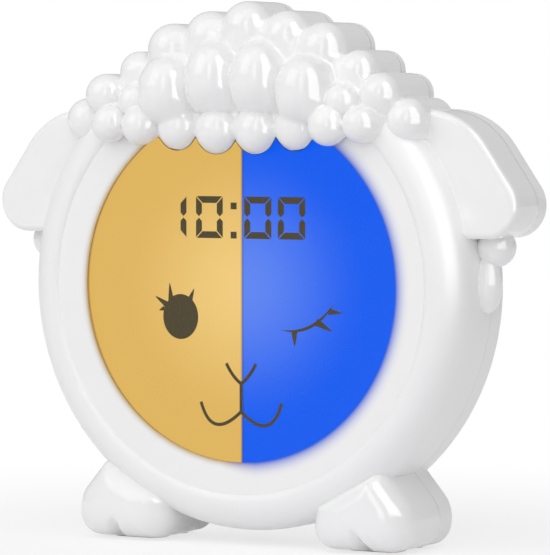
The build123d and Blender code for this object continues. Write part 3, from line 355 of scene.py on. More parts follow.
def curl_exit(origin, ray, turn, reach, y, radius, half_height, drop, tail=None):
    """Distance at which a ray from inside a curl leaves it: the far root of |o + t d - c| = r, after
    z is scaled to make the egg a ball. Below its middle, a curl with a drop is instead an upright
    round bar whose middle moves back by r (1 - (1 - (depth / drop)^2)^(1/2)). A ray that misses gets
    a steep slope, so that the curl's side runs on down to the web. For the rays that tail marks, the
    curl is a round bar behind its middle."""
    centre = np.array([reach * np.sin(np.radians(turn)), y, reach * np.cos(np.radians(turn))])
    offset = origin - centre

    def leave(offset, along):
        square = (along ** 2).sum(axis=-1) + TINY
        nearest = -(offset * along).sum(axis=-1) / square
        miss = (offset ** 2).sum(axis=-1) - nearest ** 2 * square
        chord = np.sqrt(np.clip(radius ** 2 - miss, 0, None) / square)
        beyond = CURL_DRAFT * np.clip(np.sqrt(np.clip(miss, 0, None)) - radius, 0, None)
        return nearest + chord - beyond

    squeeze = np.array([1.0, 1.0, radius / half_height])
    ball = leave(offset * squeeze, ray * squeeze)
    if drop:
        level = np.array([1.0, 1.0, 0.0])
        depth = np.maximum(-offset[..., 2], 0.0)
        back = radius * (1 - np.sqrt(1 - np.minimum(depth / drop, 1.0) ** 2))
        back += CURL_RETREAT * np.maximum(depth - drop, 0.0)
        shifted = offset - np.stack([0 * back, back, 0 * back], axis=-1)
        bar = leave(shifted * level, ray * level)
        tilt = smooth_step(np.abs(ray[..., 2]) / CURL_TILT)
        low = (offset[..., 2] < 0) & (ray[..., 1] < 0) & (tilt < 1)
        ball = np.where(low, bar + (ball - bar) * tilt, ball)
    if tail is None:
        return ball
    flat = np.array([1.0, 0.0, 1.0])
    bar = leave(offset * flat, ray * flat)
    behind = (origin + ray * bar[..., None])[..., 1] >= y
    return np.where(behind & tail, bar, ball)


def blend_rows(start, end, count):
    """Rows that lead evenly from one row of values to another, without the last one."""
    share = (np.arange(count) / count)[:, None]
    return start[None, :] * (1 - share) + end[None, :] * share


def wool_rays(turn, sizes):
    """Rows of rays round the wool's section, one column for each angle: where each starts (radius
    and y), which way it points, and how far out the web between the curls lies along it. The rows
    turn about the fringe's middles, run out along the front, turn about the crown's middles and
    run back along its top."""
    fringe, crown = mirrored(FRINGE), mirrored(CROWN)
    low_sink, top_sink = (deep * smooth_step((np.abs(turn) - start) / over)
                          for start, over, deep in (FRINGE_SINK, CROWN_SINK))
    low_r = np.interp(turn, fringe[:, 0], fringe[:, 1])
    low_y = FRINGE_MIDDLE_Y + low_sink
    top_r = np.interp(turn, crown[:, 0], crown[:, 1])
    top_y = np.interp(turn, crown[:, 0], crown[:, 2]) + top_sink
    ones = np.ones_like(turn)
    fine = sizes.wool_rows
    parts = []

    def add(count, start, end, first, last, near, far):
        swing = first + (last - first) * (np.arange(count) / count)[:, None] * ones
        parts.append([blend_rows(start[0], end[0], count), blend_rows(start[1], end[1], count),
                      np.sin(swing), -np.cos(swing), blend_rows(near, far, count)])

    low, top = (low_r, low_y), (top_r, top_y)
    end = (top_r, PARTING_Y * ones)
    plate = np.maximum(low_y - low_sink - PLATE_FRONT_Y, WEB_LEAST)
    web = np.maximum(top_y - top_sink - WEB_Y, WEB_LEAST)
    add(int(FRINGE_TURN * fine), low, low, -np.pi, 0.0, WEB_EDGE * ones, plate)
    add(2 * fine, low, top, 0.0, 0.0, plate, web)
    add(fine, top, top, 0.0, np.pi / 2, web, WEB_EDGE * ones)
    add(fine // 2, top, end, np.pi / 2, np.pi / 2, WEB_EDGE * ones, WEB_EDGE * ones)
    return [np.vstack(column) for column in zip(*parts)], low_sink


def wool_surface(sizes):
    """The wool as one closed surface: every ray runs out to the farthest curl that it meets, with
    a rounded crease where two curls meet, and the last rows close it inside the drum."""
    turn = np.linspace(-WOOL_END, WOOL_END, sizes.wool_columns)
    (r, y, ray_r, ray_y, web), low_sink = wool_rays(turn, sizes)
    sine, cosine = np.sin(np.radians(turn)), np.cos(np.radians(turn))
    origin = np.stack([r * sine, y, r * cosine], axis=-1)
    ray = np.stack([ray_r * sine, ray_y, ray_r * cosine], axis=-1)
    exits = [web]
    exits += [curl_exit(origin, ray, *curl)
              for row in (FRINGE, MIDDLE) for curl in mirrored(row)]
    exits += [curl_exit(origin, ray, *curl, ray_r > BACKWARD) for curl in mirrored(CROWN)]
    reach = np.maximum(soft_largest(exits, sizes.crease), REACH_LEAST)
    points = origin + ray * reach[..., None]
    back_y = FRINGE_BACK_Y + 2 * low_sink
    lower = np.arange(len(points)) < int(FRINGE_TURN * sizes.wool_rows)
    points[lower, :, 1] = np.minimum(points[lower, :, 1], back_y)
    inner = [np.stack([radius * sine, back + 0 * sine, radius * cosine], axis=-1)
             for radius, back in WOOL_INSIDE]
    edge = np.minimum(points[-1], [np.inf, PARTING_Y, np.inf])
    grid = np.concatenate([points, [edge], inner])
    return surface(grid.transpose(1, 0, 2), caps=(0, -1))


def ball_grid(x, y, z, radius, half_height, back, count=40):
    """Egg standing on its long axis: (r sin a sin b, r sin a cos b, h cos a), flat at its back."""
    a = np.linspace(0.02, np.pi - 0.02, count)[:, None]
    b = np.linspace(0, 2 * np.pi, 2 * count, endpoint=False)[None, :]
    depth = np.minimum(y + radius * np.sin(a) * np.cos(b), back)
    grid = np.stack([x + radius * np.sin(a) * np.sin(b), depth, z + half_height * np.cos(a) + 0 * b],
                    axis=-1)
    return surface(grid, caps=(0, -1))


def ear_surface(side):
    """Ear: its outline carried from the parting line to the front and drawn in by the edge's round,
    then run in to a core inside the drum, where the face sinks by dish * smooth_step(share / slope)."""
    outline = rounded_outline([(DRUM_R + x, z, r) for x, z, r in EAR_CORNERS])
    normal = outward(outline)
    swing = np.linspace(0, np.pi / 2, 20)
    edge = np.stack([EAR_EDGE * (1 - np.cos(swing)), EAR_Y + EAR_EDGE * (1 - np.sin(swing))], axis=-1)
    side_y = np.linspace(PARTING_Y - EDGE_BREAK, EAR_Y + EAR_EDGE + 0.4, 10)
    wall = np.stack([0 * side_y, side_y], axis=-1)
    profile = np.vstack([[(EDGE_BREAK, PARTING_Y)], wall, edge])
    flat = outline[None] - normal[None] * profile[:, 0, None, None]
    depth = np.broadcast_to(profile[:, 1, None, None], flat[..., :1].shape)
    rows = np.concatenate([flat[..., :1], depth, flat[..., 1:]], axis=-1)
    core = np.array([DRUM_R + EAR_CORE[0], EAR_Y, EAR_CORE[1]])
    shares = np.linspace(0, 1, EAR_ROWS, endpoint=False)[1:, None, None]
    face = rows[-1] + (core - rows[-1]) * shares
    face[..., 1] += EAR_DISH * smooth_step(shares[..., 0] / EAR_SLOPE)
    grid = np.concatenate([rows, face]) * [side, 1, 1]
    return surface(grid, caps=(0, -1))


def foot_surface(side):
    """Foot: its outline carried from the parting line to the toes, which swell as
    y = front + depth * (1 - (1 - f^n)^(1/2)), where f falls from 1 at the outline to 0 at the
    toes' middle. The cleft is a bell-shaped groove that fades upwards."""
    outline = rounded_outline([(x, SOLE_Z + height, r) for x, height, r in FOOT_CORNERS])
    core = np.array([FOOT_CORE[0], SOLE_Z + FOOT_CORE[1]])
    turn = np.linspace(0, np.pi / 2, 40)
    share = np.cos(turn) ** (2.0 / FOOT_FULLNESS)
    share[-1] = 0.02
    depth = FOOT_Y + FOOT_DEPTH * (1 - np.sqrt(1 - np.clip(share, 0, 1) ** FOOT_FULLNESS))
    side_y = np.linspace(PARTING_Y - EDGE_BREAK, FOOT_Y + FOOT_DEPTH + 0.5, 12)
    inset = 1 - EDGE_BREAK / FOOT_HALF
    shares = np.concatenate([[inset], np.ones(12), share])[:, None, None]
    depths = np.concatenate([[PARTING_Y], side_y, depth])[:, None]
    flat = core + (outline - core)[None] * shares
    x, z = flat[..., 0], flat[..., 1]
    height = (z - SOLE_Z) / CLEFT_HEIGHT
    ahead = (FOOT_Y + FOOT_DEPTH - depths) / FOOT_DEPTH
    fade = (1 - smooth_step(height)) * smooth_step(ahead * CLEFT_ONSET)
    width = CLEFT_WIDTH * (CLEFT_TAPER[0] - CLEFT_TAPER[1] * height.clip(0, 1))
    groove = np.exp(-((x - CLEFT_X + CLEFT_LEAN * height) / width) ** 2)
    grid = np.stack([x * side, depths + CLEFT_DEPTH * groove * fade, z], axis=-1)
    return surface(grid, caps=(0, -1))


# --- Display surfaces ---------------------------------------------------------------
def plate(rows):
    """Thin plate over a grid of (x, z) places, closed round its edge: a front sheet, a back one."""
    level = np.full(rows.shape[:2], CRYSTAL_Y - CRYSTAL_T / 2)
    front = np.stack([rows[..., 0], level, rows[..., 1]], axis=-1)
    back = front + [0, CRYSTAL_T, 0]
    ring = np.concatenate([front, back[:, ::-1]], axis=1)
    points, quads, fans = surface(ring)
    columns = ring.shape[1]
    strip = np.arange(columns // 2 - 1)
    ends = []
    for row in (0, len(ring) - 1):
        end = row * columns + np.stack([strip, strip + 1, columns - 2 - strip, columns - 1 - strip], axis=-1)
        ends.append(end if row else end[:, ::-1])
    return points, np.vstack([quads, *ends]), fans


def stroke_plate(path, widths):
    """Line drawn along a path: its points moved half a width to either side of it."""
    along = np.gradient(path, axis=0)
    along /= np.linalg.norm(along, axis=1, keepdims=True)
    across = np.stack([-along[:, 1], along[:, 0]], axis=-1) * np.asarray(widths)[:, None] / 2
    return plate(np.stack([path - across, path, path + across], axis=1))


def lash(base, tip, width):
    """Wedge from a wide base to a fine tip."""
    share = np.linspace(0, 1, 8)
    path = np.array(base) + (np.array(tip) - np.array(base)) * share[:, None]
    return stroke_plate(path, width * (1 - share) ** 0.8 + 0.08)


def segment_bars(right):
    """The seven bars of one digit by letter, each as its two ends across three widths of the stroke:
    mitred where it meets a corner and pointed where it meets the middle."""
    left, low, high = right - DIGIT_WIDTH, DIGIT_Z - DIGIT_HEIGHT / 2, DIGIT_Z + DIGIT_HEIGHT / 2
    gap, across = STROKE_GAP / 2, np.array([0, 0.5, 1]) * STROKE
    mitre = across + gap
    point = np.array([0.5, 0.0, 0.5]) * STROKE + gap

    def level(z, inward):
        start = np.stack([left + mitre, z + inward * across], axis=-1)
        end = np.stack([right - mitre, z + inward * across], axis=-1)
        return np.stack([start, end])

    def upright(x, inward, z, towards):
        start = np.stack([x + inward * across, z + towards * mitre], axis=-1)
        end = np.stack([x + inward * across, DIGIT_Z - towards * point], axis=-1)
        return np.stack([start, end])

    return {"a": level(high, -1), "d": level(low, 1), "b": upright(right, -1, high, -1),
            "f": upright(left, 1, high, -1), "c": upright(right, -1, low, 1), "e": upright(left, 1, low, 1)}


def digit_plates():
    """The time in seven-segment figures, with two square dots between hours and minutes."""
    shapes = []
    for figure, right in zip(TIME.replace(":", ""), DIGIT_RIGHT_EDGES):
        bars = segment_bars(right)
        shapes += [plate(bars[letter]) for letter in SEGMENTS[figure]]
    half = COLON_SIDE / 2
    square = np.array([[(-half, -half), (half, -half)], [(-half, half), (half, half)]])
    return shapes + [plate(square + [COLON_X, COLON_Z + rise]) for rise in (-COLON_RISE, COLON_RISE)]


def eye_plate():
    """Open eye: a filled oval, (rx cos a, rz sin a) carried in to its middle."""
    a = np.linspace(0, np.pi, 40)[:, None]
    rise = np.linspace(-1, 1, 9)[None, :]
    x = EYE[0] + EYE_RADII[0] * np.cos(a) + 0 * rise
    z = EYE[1] + EYE_RADII[1] * np.sin(a) * rise
    return plate(np.stack([x, z], axis=-1)[1:-1])


def face_plates():
    """The sheep's face: one eye open, one shut, a nose and a smile."""
    shapes = [eye_plate()] + [lash(*each) for each in OPEN_LASHES + WINK_LASHES]
    share = np.linspace(-1, 1, PATH_POINTS)
    shapes.append(stroke_plate(bezier(WINK), WINK_WIDTH * (1.05 - share ** 2)))
    for path in [*NOSE_ARMS, STEM, *MOUTH]:
        shapes.append(stroke_plate(bezier(path), np.full(PATH_POINTS, FACE_STROKE)))
    return shapes


# --- Material helpers ---------------------------------------------------------------
def linear(code):
    """sRGB hex code to linear red, green, blue and alpha."""
    value = np.array([int(code[i:i + 2], 16) for i in (1, 3, 5)]) / 255
    value = np.where(value <= 0.04045, value / 12.92, ((value + 0.055) / 1.055) ** 2.4)
    return (*value.tolist(), 1.0)


def add_node(tree, kind, inputs=(), **settings):
    """Adds a shader node. inputs pairs a socket's name or number with a value or another socket."""
    node = tree.nodes.new(kind)
    for name, value in settings.items():
        setattr(node, name, value)
    for socket, value in dict(inputs).items():
        if isinstance(value, bpy.types.NodeSocket):
            tree.links.new(value, node.inputs[socket])
        else:
            node.inputs[socket].default_value = value
    return node


def new_finish(name, colour, roughness, metallic=0.0, ior=1.5):
    """Material with a plain Principled shader to build on, as (material, tree, shader)."""
    material = bpy.data.materials.new(name)
    material.use_nodes = True
    tree = material.node_tree
    shader = tree.nodes["Principled BSDF"]
    settings = {"Base Color": linear(colour), "Roughness": roughness, "Metallic": metallic, "IOR": ior}
    for socket, value in settings.items():
        shader.inputs[socket].default_value = value
    return material, tree, shader


def mottle(tree, shader, size, colours=None, roughness=None, bump=0.0, stretch=(1, 1, 1)):
    """Breaks a finish up with noise whose patches are size millimetres: between two colours, between
    two values of roughness, and as a bump that many millimetres high."""
    place = add_node(tree, "ShaderNodeTexCoord").outputs["Object"]
    turned = add_node(tree, "ShaderNodeMapping", {"Vector": place, "Scale": stretch}).outputs[0]
    noise = add_node(tree, "ShaderNodeTexNoise", {"Vector": turned, "Scale": 1 / (size * MM), "Detail": 3.0})
    value = noise.outputs["Fac"]
    if colours:
        mix = add_node(tree, "ShaderNodeMix", {0: value}, data_type="RGBA")
        mix.inputs[6].default_value, mix.inputs[7].default_value = map(linear, colours)
        tree.links.new(mix.outputs[2], shader.inputs["Base Color"])
    if roughness:
        span = add_node(tree, "ShaderNodeMapRange",
                        {0: value, 1: 0.3, 2: 0.7, 3: roughness[0], 4: roughness[1]})
        tree.links.new(span.outputs[0], shader.inputs["Roughness"])
    if bump:
        raised = add_node(tree, "ShaderNodeBump", {"Height": value, "Distance": bump * MM, "Strength": 1.0})
        tree.links.new(raised.outputs[0], shader.inputs["Normal"])


def from_middle(tree):
    """Sockets that give a point's place to the right of the display's middle, and its distance from
    the axis through it."""
    place = add_node(tree, "ShaderNodeTexCoord").outputs["Object"]
    centred = add_node(tree, "ShaderNodeMapping",
                       {"Vector": place, "Location": tuple(-ORIGIN * MM)}).outputs[0]
    flat = add_node(tree, "ShaderNodeVectorMath", {0: centred, 1: (1, 0, 1)}, operation="MULTIPLY").outputs[0]
    away = add_node(tree, "ShaderNodeVectorMath", {0: flat}, operation="LENGTH").outputs["Value"]
    return add_node(tree, "ShaderNodeSeparateXYZ", {0: centred}).outputs[0], away


# --- Finishes -----------------------------------------------------------------------
def white_abs(name, colour, roughness):
    """Injection-moulded ABS. From a polished mould it has sharp highlights on a faintly uneven skin,
    and where the mould is duller they are broad and soft."""
    material, tree, shader = new_finish(name, colour, roughness, ior=1.53)
    mottle(tree, shader, 14.0, roughness=(roughness * 0.94, roughness * 1.06))
    return material


def ring_abs(name, colour, glow):
    """ABS ring with a painted glow: the display's light on its thin inner edge is painted into its colour,
    amber on the left, blue on the right, fading as a power of the distance from the edge."""
    material, tree, shader = new_finish(name, colour, 0.2, ior=1.53)
    mottle(tree, shader, 10.0, roughness=(0.17, 0.23), bump=0.02)
    across, away = from_middle(tree)
    side = add_node(tree, "ShaderNodeMapRange", {0: across, 1: -6 * MM, 2: 6 * MM}).outputs[0]
    reach = add_node(tree, "ShaderNodeMapRange", {0: side, 3: (DISPLAY_R + glow.amber_reach) * MM,
                                                  4: (DISPLAY_R + glow.blue_reach) * MM}).outputs[0]
    near = add_node(tree, "ShaderNodeMapRange",
                    {0: away, 1: DISPLAY_R * MM, 2: reach, 3: 1.0, 4: 0.0}).outputs[0]
    fade = add_node(tree, "ShaderNodeMath", {0: near, 1: glow.power}, operation="POWER").outputs[0]
    # Painted glow: the display's light, amber on the left and blue on the right, mixed into the colour near
    # the inner edge.
    painted_glow_colour = add_node(tree, "ShaderNodeMix", {0: side}, data_type="RGBA")
    painted_glow_colour.inputs[6].default_value, painted_glow_colour.inputs[7].default_value = linear(glow.amber), linear(glow.blue)
    mixed = add_node(tree, "ShaderNodeMix", {0: fade, 6: linear(colour), 7: painted_glow_colour.outputs[2]},
                     data_type="RGBA")
    tree.links.new(mixed.outputs[2], shader.inputs["Base Color"])
    return material


def clear_acrylic():
    """Cast acrylic window with an anti-glare coat on both faces, which cuts their reflections to
    under one part in a hundred, as an IOR of 1.15 does. Bare acrylic has 1.49."""
    material, tree, shader = new_finish("clear_acrylic", "#FFFFFF", 0.02, ior=1.15)
    shader.inputs["Transmission Weight"].default_value = 1.0
    mottle(tree, shader, 8.0, roughness=(0.01, 0.03))
    return material


def lit_crystal(look):
    """Liquid crystal glass over two milky light panels, whose light it gives off as its own emission:
    each half is brightest towards the middle. Painted shade darkens its rim, where the ring's lip
    stands in front of it, and a painted shadow of the wall between the light chambers shows as a dark line."""
    material, tree, shader = new_finish("lit_liquid_crystal_glass", "#060606", 0.3, ior=1.52)
    shader.inputs["Specular IOR Level"].default_value = 0.0
    across, away = from_middle(tree)
    share = add_node(tree, "ShaderNodeMapRange",
                     {0: away, 1: 0.0, 2: (DISPLAY_R + look.overlap) * MM}).outputs[0]
    halves = []
    for middle, edge, rim in ((look.amber_middle, look.amber_edge, look.amber_lip_shade),
                              (look.blue_middle, look.blue_edge, look.blue_lip_shade)):
        ramp = add_node(tree, "ShaderNodeValToRGB", {0: share})
        ramp.color_ramp.interpolation = "EASE"
        ramp.color_ramp.elements[0].color = linear(middle)
        # Painted shade: the last stop darkens the display's rim, where the ring's lip stands in front.
        ramp.color_ramp.elements[1].color = linear(rim)
        for position in (look.edge_from, look.lip_shade_from):
            ramp.color_ramp.elements.new(position).color = linear(edge)
        halves.append(ramp.outputs[0])
    side = add_node(tree, "ShaderNodeMapRange", {0: across, 1: -0.15 * MM, 2: 0.15 * MM})
    both = add_node(tree, "ShaderNodeMix", {0: side.outputs[0], 6: halves[0], 7: halves[1]}, data_type="RGBA")
    # Painted shadow of the wall between the light chambers: the glow is darkened along the split.
    near = add_node(tree, "ShaderNodeMath", {0: across}, operation="ABSOLUTE").outputs[0]
    wall = add_node(tree, "ShaderNodeMapRange", {0: near, 1: 0.1 * MM, 2: look.wall * MM, 3: 0.62, 4: 1.0})
    shade = add_node(tree, "ShaderNodeMix", {0: 1.0, 6: both.outputs[2], 7: wall.outputs[0]},
                     data_type="RGBA", blend_type="MULTIPLY")
    tree.links.new(shade.outputs[2], shader.inputs["Emission Color"])
    shader.inputs["Emission Strength"].default_value = 1.0
    return material


def dark_crystal(look):
    """Switched liquid crystal: it holds back nearly all the light behind it. The little it lets through
    is painted on as a dark olive glow.
    """
    material, tree, shader = new_finish("dark_liquid_crystal", "#060606", 0.5, ior=1.5)
    shader.inputs["Specular IOR Level"].default_value = 0.0
    mottle(tree, shader, 6.0, roughness=(0.45, 0.55))
    # Painted glow: the segments give off their colour as emission, standing in for the backlight they let
    # through.
    shader.inputs["Emission Color"].default_value = linear(look.segments)
    shader.inputs["Emission Strength"].default_value = 1.0
    return material


def milky_acrylic(name, colours):
    """Opal acrylic light panel: waxy, with light spread inside it."""
    material, tree, shader = new_finish(name, colours[0], 0.45, ior=1.49)
    shader.inputs["Subsurface Weight"].default_value = 0.3
    shader.inputs["Subsurface Radius"].default_value = (2 * MM, 2 * MM, 2 * MM)
    mottle(tree, shader, 5.0, colours=colours, roughness=(0.4, 0.5))
    return material


def matt_moulding(name, colours, roughness=(0.4, 0.55)):
    """Moulding from a spark-eroded mould: fine even grain that scatters its highlights. The grain
    is drawn at 0.8 mm, coarser than the real 0.1 mm, so that it shows."""
    material, tree, shader = new_finish(name, colours[0], roughness[0])
    mottle(tree, shader, 0.8, colours=colours, roughness=roughness, bump=0.02)
    return material


def soft_rubber():
    """Thermoplastic rubber of the pads under the feet: dull and slightly dusty."""
    material, tree, shader = new_finish("thermoplastic_rubber", "#BFBFC2", 0.7, ior=1.52)
    mottle(tree, shader, 1.5, colours=("#B6B6BA", "#C8C8CB"), roughness=(0.65, 0.8), bump=0.03)
    return material


def plated_metal(name, colours, roughness, stretch=(1, 1, 1)):
    """Metal with a thin plating: bright, with fine drawn or tumbled marks a millimetre long."""
    material, tree, shader = new_finish(name, colours[0], roughness[0], metallic=1.0)
    mottle(tree, shader, 1.0, colours=colours, roughness=roughness, bump=0.004, stretch=stretch)
    return material


def fibreglass_board():
    """Glass-fibre circuit board under green solder mask: the weave shows as a faint check, drawn at
    1.2 mm, coarser than the real one, so that it shows."""
    material, tree, shader = new_finish("solder_masked_fibreglass", "#1F6B3A", 0.35, ior=1.55)
    place = add_node(tree, "ShaderNodeTexCoord").outputs["Object"]
    weave = add_node(tree, "ShaderNodeTexChecker", {"Vector": place, "Scale": 1 / (1.2 * MM),
                                                    "Color1": linear("#1D6537"), "Color2": linear("#23733F")})
    tree.links.new(weave.outputs[0], shader.inputs["Base Color"])
    mottle(tree, shader, 3.0, roughness=(0.3, 0.42))
    return material


def pressed_paper():
    """Pressed paper cone: matt black with loose fibres about 2 mm long."""
    material, tree, shader = new_finish("pressed_paper", "#1B1B1C", 0.9, ior=1.45)
    mottle(tree, shader, 2.0, colours=("#161617", "#2B2A29"), roughness=(0.85, 0.95), bump=0.06,
           stretch=(1, 1, 3))
    return material


def shrunk_sleeve():
    """Shrunk PVC sleeve of a dry cell: glossy dark grey, a little cloudy."""
    material, tree, shader = new_finish("shrunk_pvc_sleeve", "#3A3F47", 0.3, ior=1.53)
    mottle(tree, shader, 4.0, colours=("#363B43", "#42474F"), roughness=(0.25, 0.35), bump=0.01)
    return material


# --- Settings -----------------------------------------------------------------------
class ClockSizes(bpy.types.PropertyGroup):
    wool_columns: bpy.props.IntProperty(
        name="Wool columns", description="Columns of the wool's surface", default=440, min=60)
    wool_rows: bpy.props.IntProperty(
        name="Wool rows", description="Rows of the wool's surface over a quarter of a curl", default=40,
        min=8)
    crease: bpy.props.FloatProperty(
        name="Crease", description="Softness of the creases between curls, in mm", default=0.6, min=0.05)


# Painted glow of the display's light on the ring's inner edge: how far it reaches, how it fades, its colours.
class GlowLook(bpy.types.PropertyGroup):
    amber_reach: bpy.props.FloatProperty(
        name="Amber reach", default=2.6, description="How far the day side's light tints the ring, in mm")
    blue_reach: bpy.props.FloatProperty(
        name="Blue reach", default=5.5, description="How far the night side's light tints the ring, in mm")
    power: bpy.props.FloatProperty(
        name="Falloff", description="Power with which the tint fades over that distance", default=2.4)
    amber: bpy.props.StringProperty(
        name="Amber", description="Tint on the day side, sRGB hex", default="#BFA066")
    blue: bpy.props.StringProperty(
        name="Blue", description="Tint on the night side, sRGB hex", default="#1E56D8")


class DisplayLook(bpy.types.PropertyGroup):
    amber_middle: bpy.props.StringProperty(name="Amber middle", description="sRGB hex", default="#F1CC7E")
    amber_edge: bpy.props.StringProperty(name="Amber edge", description="sRGB hex", default="#DFB55F")
    # Painted shade: the rim colours darken the display's edge under the ring's lip.
    amber_lip_shade: bpy.props.StringProperty(name="Amber rim", description="sRGB hex", default="#B48D48")
    blue_middle: bpy.props.StringProperty(name="Blue middle", description="sRGB hex", default="#5F86F2")
    blue_edge: bpy.props.StringProperty(name="Blue edge", description="sRGB hex", default="#0F5CF0")
    blue_lip_shade: bpy.props.StringProperty(name="Blue rim", description="sRGB hex", default="#044FCB")
    # Colour of the painted glow of the dark segments.
    segments: bpy.props.StringProperty(name="Segments", description="sRGB hex", default="#4E4631")
    edge_from: bpy.props.FloatProperty(
        name="Edge from", description="Share of the radius where the edge colour is reached", default=0.8)
    # Painted shade of the ring's lip begins at this share of the radius.
    lip_shade_from: bpy.props.FloatProperty(
        name="Rim from", description="Share of the radius where the rim darkens", default=0.984)
    overlap: bpy.props.FloatProperty(
        name="Overlap", description="How far the light reaches in behind the ring's lip, in mm", default=1.3)
    # Painted shadow of the wall between the halves.
    wall: bpy.props.FloatProperty(
        name="Wall shadow", description="Half width of the dark line between the halves, in mm", default=0.7)


class StageLook(bpy.types.PropertyGroup):
    azimuth: bpy.props.FloatProperty(
        name="Azimuth", description="Camera's angle round the clock", default=np.radians(28.96),
        subtype="ANGLE")
    elevation: bpy.props.FloatProperty(
        name="Elevation", description="Camera's angle above level", default=np.radians(2.53),
        subtype="ANGLE")
    distance: bpy.props.FloatProperty(
        name="Distance", description="From the camera to its aim", default=1.125, unit="LENGTH")
    aim_x: bpy.props.FloatProperty(
        name="Aim x", description="Aim, to the right of the display's middle", default=0.0123,
        unit="LENGTH")
    aim_z: bpy.props.FloatProperty(
        name="Aim z", description="Aim, above the display's middle", default=0.0028, unit="LENGTH")
    lens: bpy.props.FloatProperty(name="Lens", description="Focal length on a 36 mm frame", default=249.5)
    world_level: bpy.props.FloatProperty(
        name="Surrounding light", description="Strength of the pale room round the clock", default=0.49)


# --- Operators ----------------------------------------------------------------------
def finish_of(name, make, *options):
    """The material of that name, made once."""
    return bpy.data.materials.get(name) or make(*options)


def drum_finish():
    return finish_of("semi_gloss_abs_white", white_abs, "semi_gloss_abs_white", "#F4F4F4", 0.36)


def casing_finish():
    return finish_of("gloss_abs_white", white_abs, "gloss_abs_white", "#F4F4F4", 0.06)


class ClockOperator:
    """What the clock's operators share."""
    bl_options = {"REGISTER", "UNDO"}


class CLOCK_OT_drum(ClockOperator, bpy.types.Operator):
    """Round front of the casing with its soft rim"""
    bl_idname = "clock.drum"
    bl_label = "Drum"

    def execute(self, context):
        add_front("drum_front", [drum_surface()], drum_finish())
        return {"FINISHED"}


class CLOCK_OT_wool(ClockOperator, bpy.types.Operator):
    """Woolly curls of the crown and the fringe, and the locks on the cheeks"""
    bl_idname = "clock.wool"
    bl_label = "Wool"

    def execute(self, context):
        add_front("wool_front", [wool_surface(context.scene.clock_sizes)], casing_finish())
        locks = [ball_grid(side * (DRUM_R + beyond), *rest, PARTING_Y)
                 for side in (-1, 1) for beyond, *rest in CHEEKS]
        add_front("cheek_wool_front", locks, casing_finish())
        return {"FINISHED"}


class CLOCK_OT_ears(ClockOperator, bpy.types.Operator):
    """Drooping ears with a shallow dish in their faces"""
    bl_idname = "clock.ears"
    bl_label = "Ears"

    def execute(self, context):
        for name, side in SIDES.items():
            add_front(f"ear_{name}_front", [ear_surface(side)], casing_finish())
        return {"FINISHED"}


class CLOCK_OT_feet(ClockOperator, bpy.types.Operator):
    """Rounded feet with a cleft in their toes"""
    bl_idname = "clock.feet"
    bl_label = "Feet"

    def execute(self, context):
        for name, side in SIDES.items():
            add_front(f"foot_{name}_front", [foot_surface(side)], casing_finish())
        return {"FINISHED"}


class CLOCK_OT_display(ClockOperator, bpy.types.Operator):
    """Dark figures and face of the liquid crystal display"""
    bl_idname = "clock.display"
    bl_label = "Display figures"

    def execute(self, context):
        look = context.scene.clock_display
        dark = finish_of("dark_liquid_crystal", dark_crystal, look)
        add_piece("time_figures", digit_plates(), dark)
        add_piece("face_figures", face_plates(), dark)
        return {"FINISHED"}


class CLOCK_OT_finishes(ClockOperator, bpy.types.Operator):
    """Finishes of the pieces that keep their modelled shape"""
    bl_idname = "clock.finishes"
    bl_label = "Finishes"

    def execute(self, context):
        by_slot = {
            "casing_white": drum_finish(),
            # The ring's finish has the display's light painted into its colour near the inner edge.
            "ring_white": ring_abs("satin_abs_white_painted_glow", "#F5F5F5", context.scene.clock_glow),
            "foot_rubber": soft_rubber(),
            "screw_steel": plated_metal("zinc_plated_steel", ("#B9BBBE", "#CFD1D3"), (0.28, 0.4)),
            "window_clear": clear_acrylic(),
            "lcd_glass": lit_crystal(context.scene.clock_display),
            "diffuser_amber": milky_acrylic("opal_acrylic_amber", ("#E9C27A", "#F0CE8C")),
            "diffuser_blue": milky_acrylic("opal_acrylic_blue", ("#3F74F0", "#5C8AF4")),
            "box_white": matt_moulding("matt_polystyrene_white", ("#EFEFF0", "#F6F6F6")),
            "board_green": fibreglass_board(),
            "lamp_amber": matt_moulding("epoxy_lamp_amber", ("#E7B24C", "#F0C265"), (0.15, 0.25)),
            "lamp_blue": matt_moulding("epoxy_lamp_blue", ("#3B66D8", "#5C82E6"), (0.15, 0.25)),
            "ribbon_film": matt_moulding("polyimide_film", ("#B0772F", "#C28A40"), (0.3, 0.4)),
            "connector_black": matt_moulding("nylon_black", ("#1A1A1B", "#242425")),
            "chip_black": matt_moulding("epoxy_black", ("#141415", "#1E1E1F"), (0.5, 0.65)),
            "can_aluminium": plated_metal("drawn_aluminium", ("#C9CBCD", "#DCDDDF"), (0.25, 0.38),
                                          (1, 6, 1)),
            "shell_steel": plated_metal("nickel_plated_steel", ("#C4C2BC", "#D5D3CD"), (0.2, 0.32)),
            "cone_paper": pressed_paper(),
            "magnet_ferrite": matt_moulding("sintered_ferrite", ("#2A2A2C", "#38383A"), (0.55, 0.75)),
            "contact_nickel": plated_metal("nickel_plated_spring_steel", ("#BEBCB6", "#CFCDC7"),
                                           (0.22, 0.36)),
            "cell_jacket": shrunk_sleeve(),
        }
        for node in frame["nodes"].values():
            for index, held in enumerate(node.data.materials):
                node.material_slots[index].material = by_slot[held.name.split(".")[0]]
        return {"FINISHED"}


class CLOCK_OT_stage(ClockOperator, bpy.types.Operator):
    """Pale floor and room, soft lamps and the camera"""
    bl_idname = "clock.stage"
    bl_label = "Stage"

    def execute(self, context):
        look = context.scene.clock_stage
        aim = Vector(placed((look.aim_x / MM, 0, look.aim_z / MM)))
        make_floor()
        make_room(look.world_level)
        make_lamps(aim, look.azimuth)
        make_camera(context, aim, look)
        context.scene.view_settings.view_transform = "Standard"
        return {"FINISHED"}


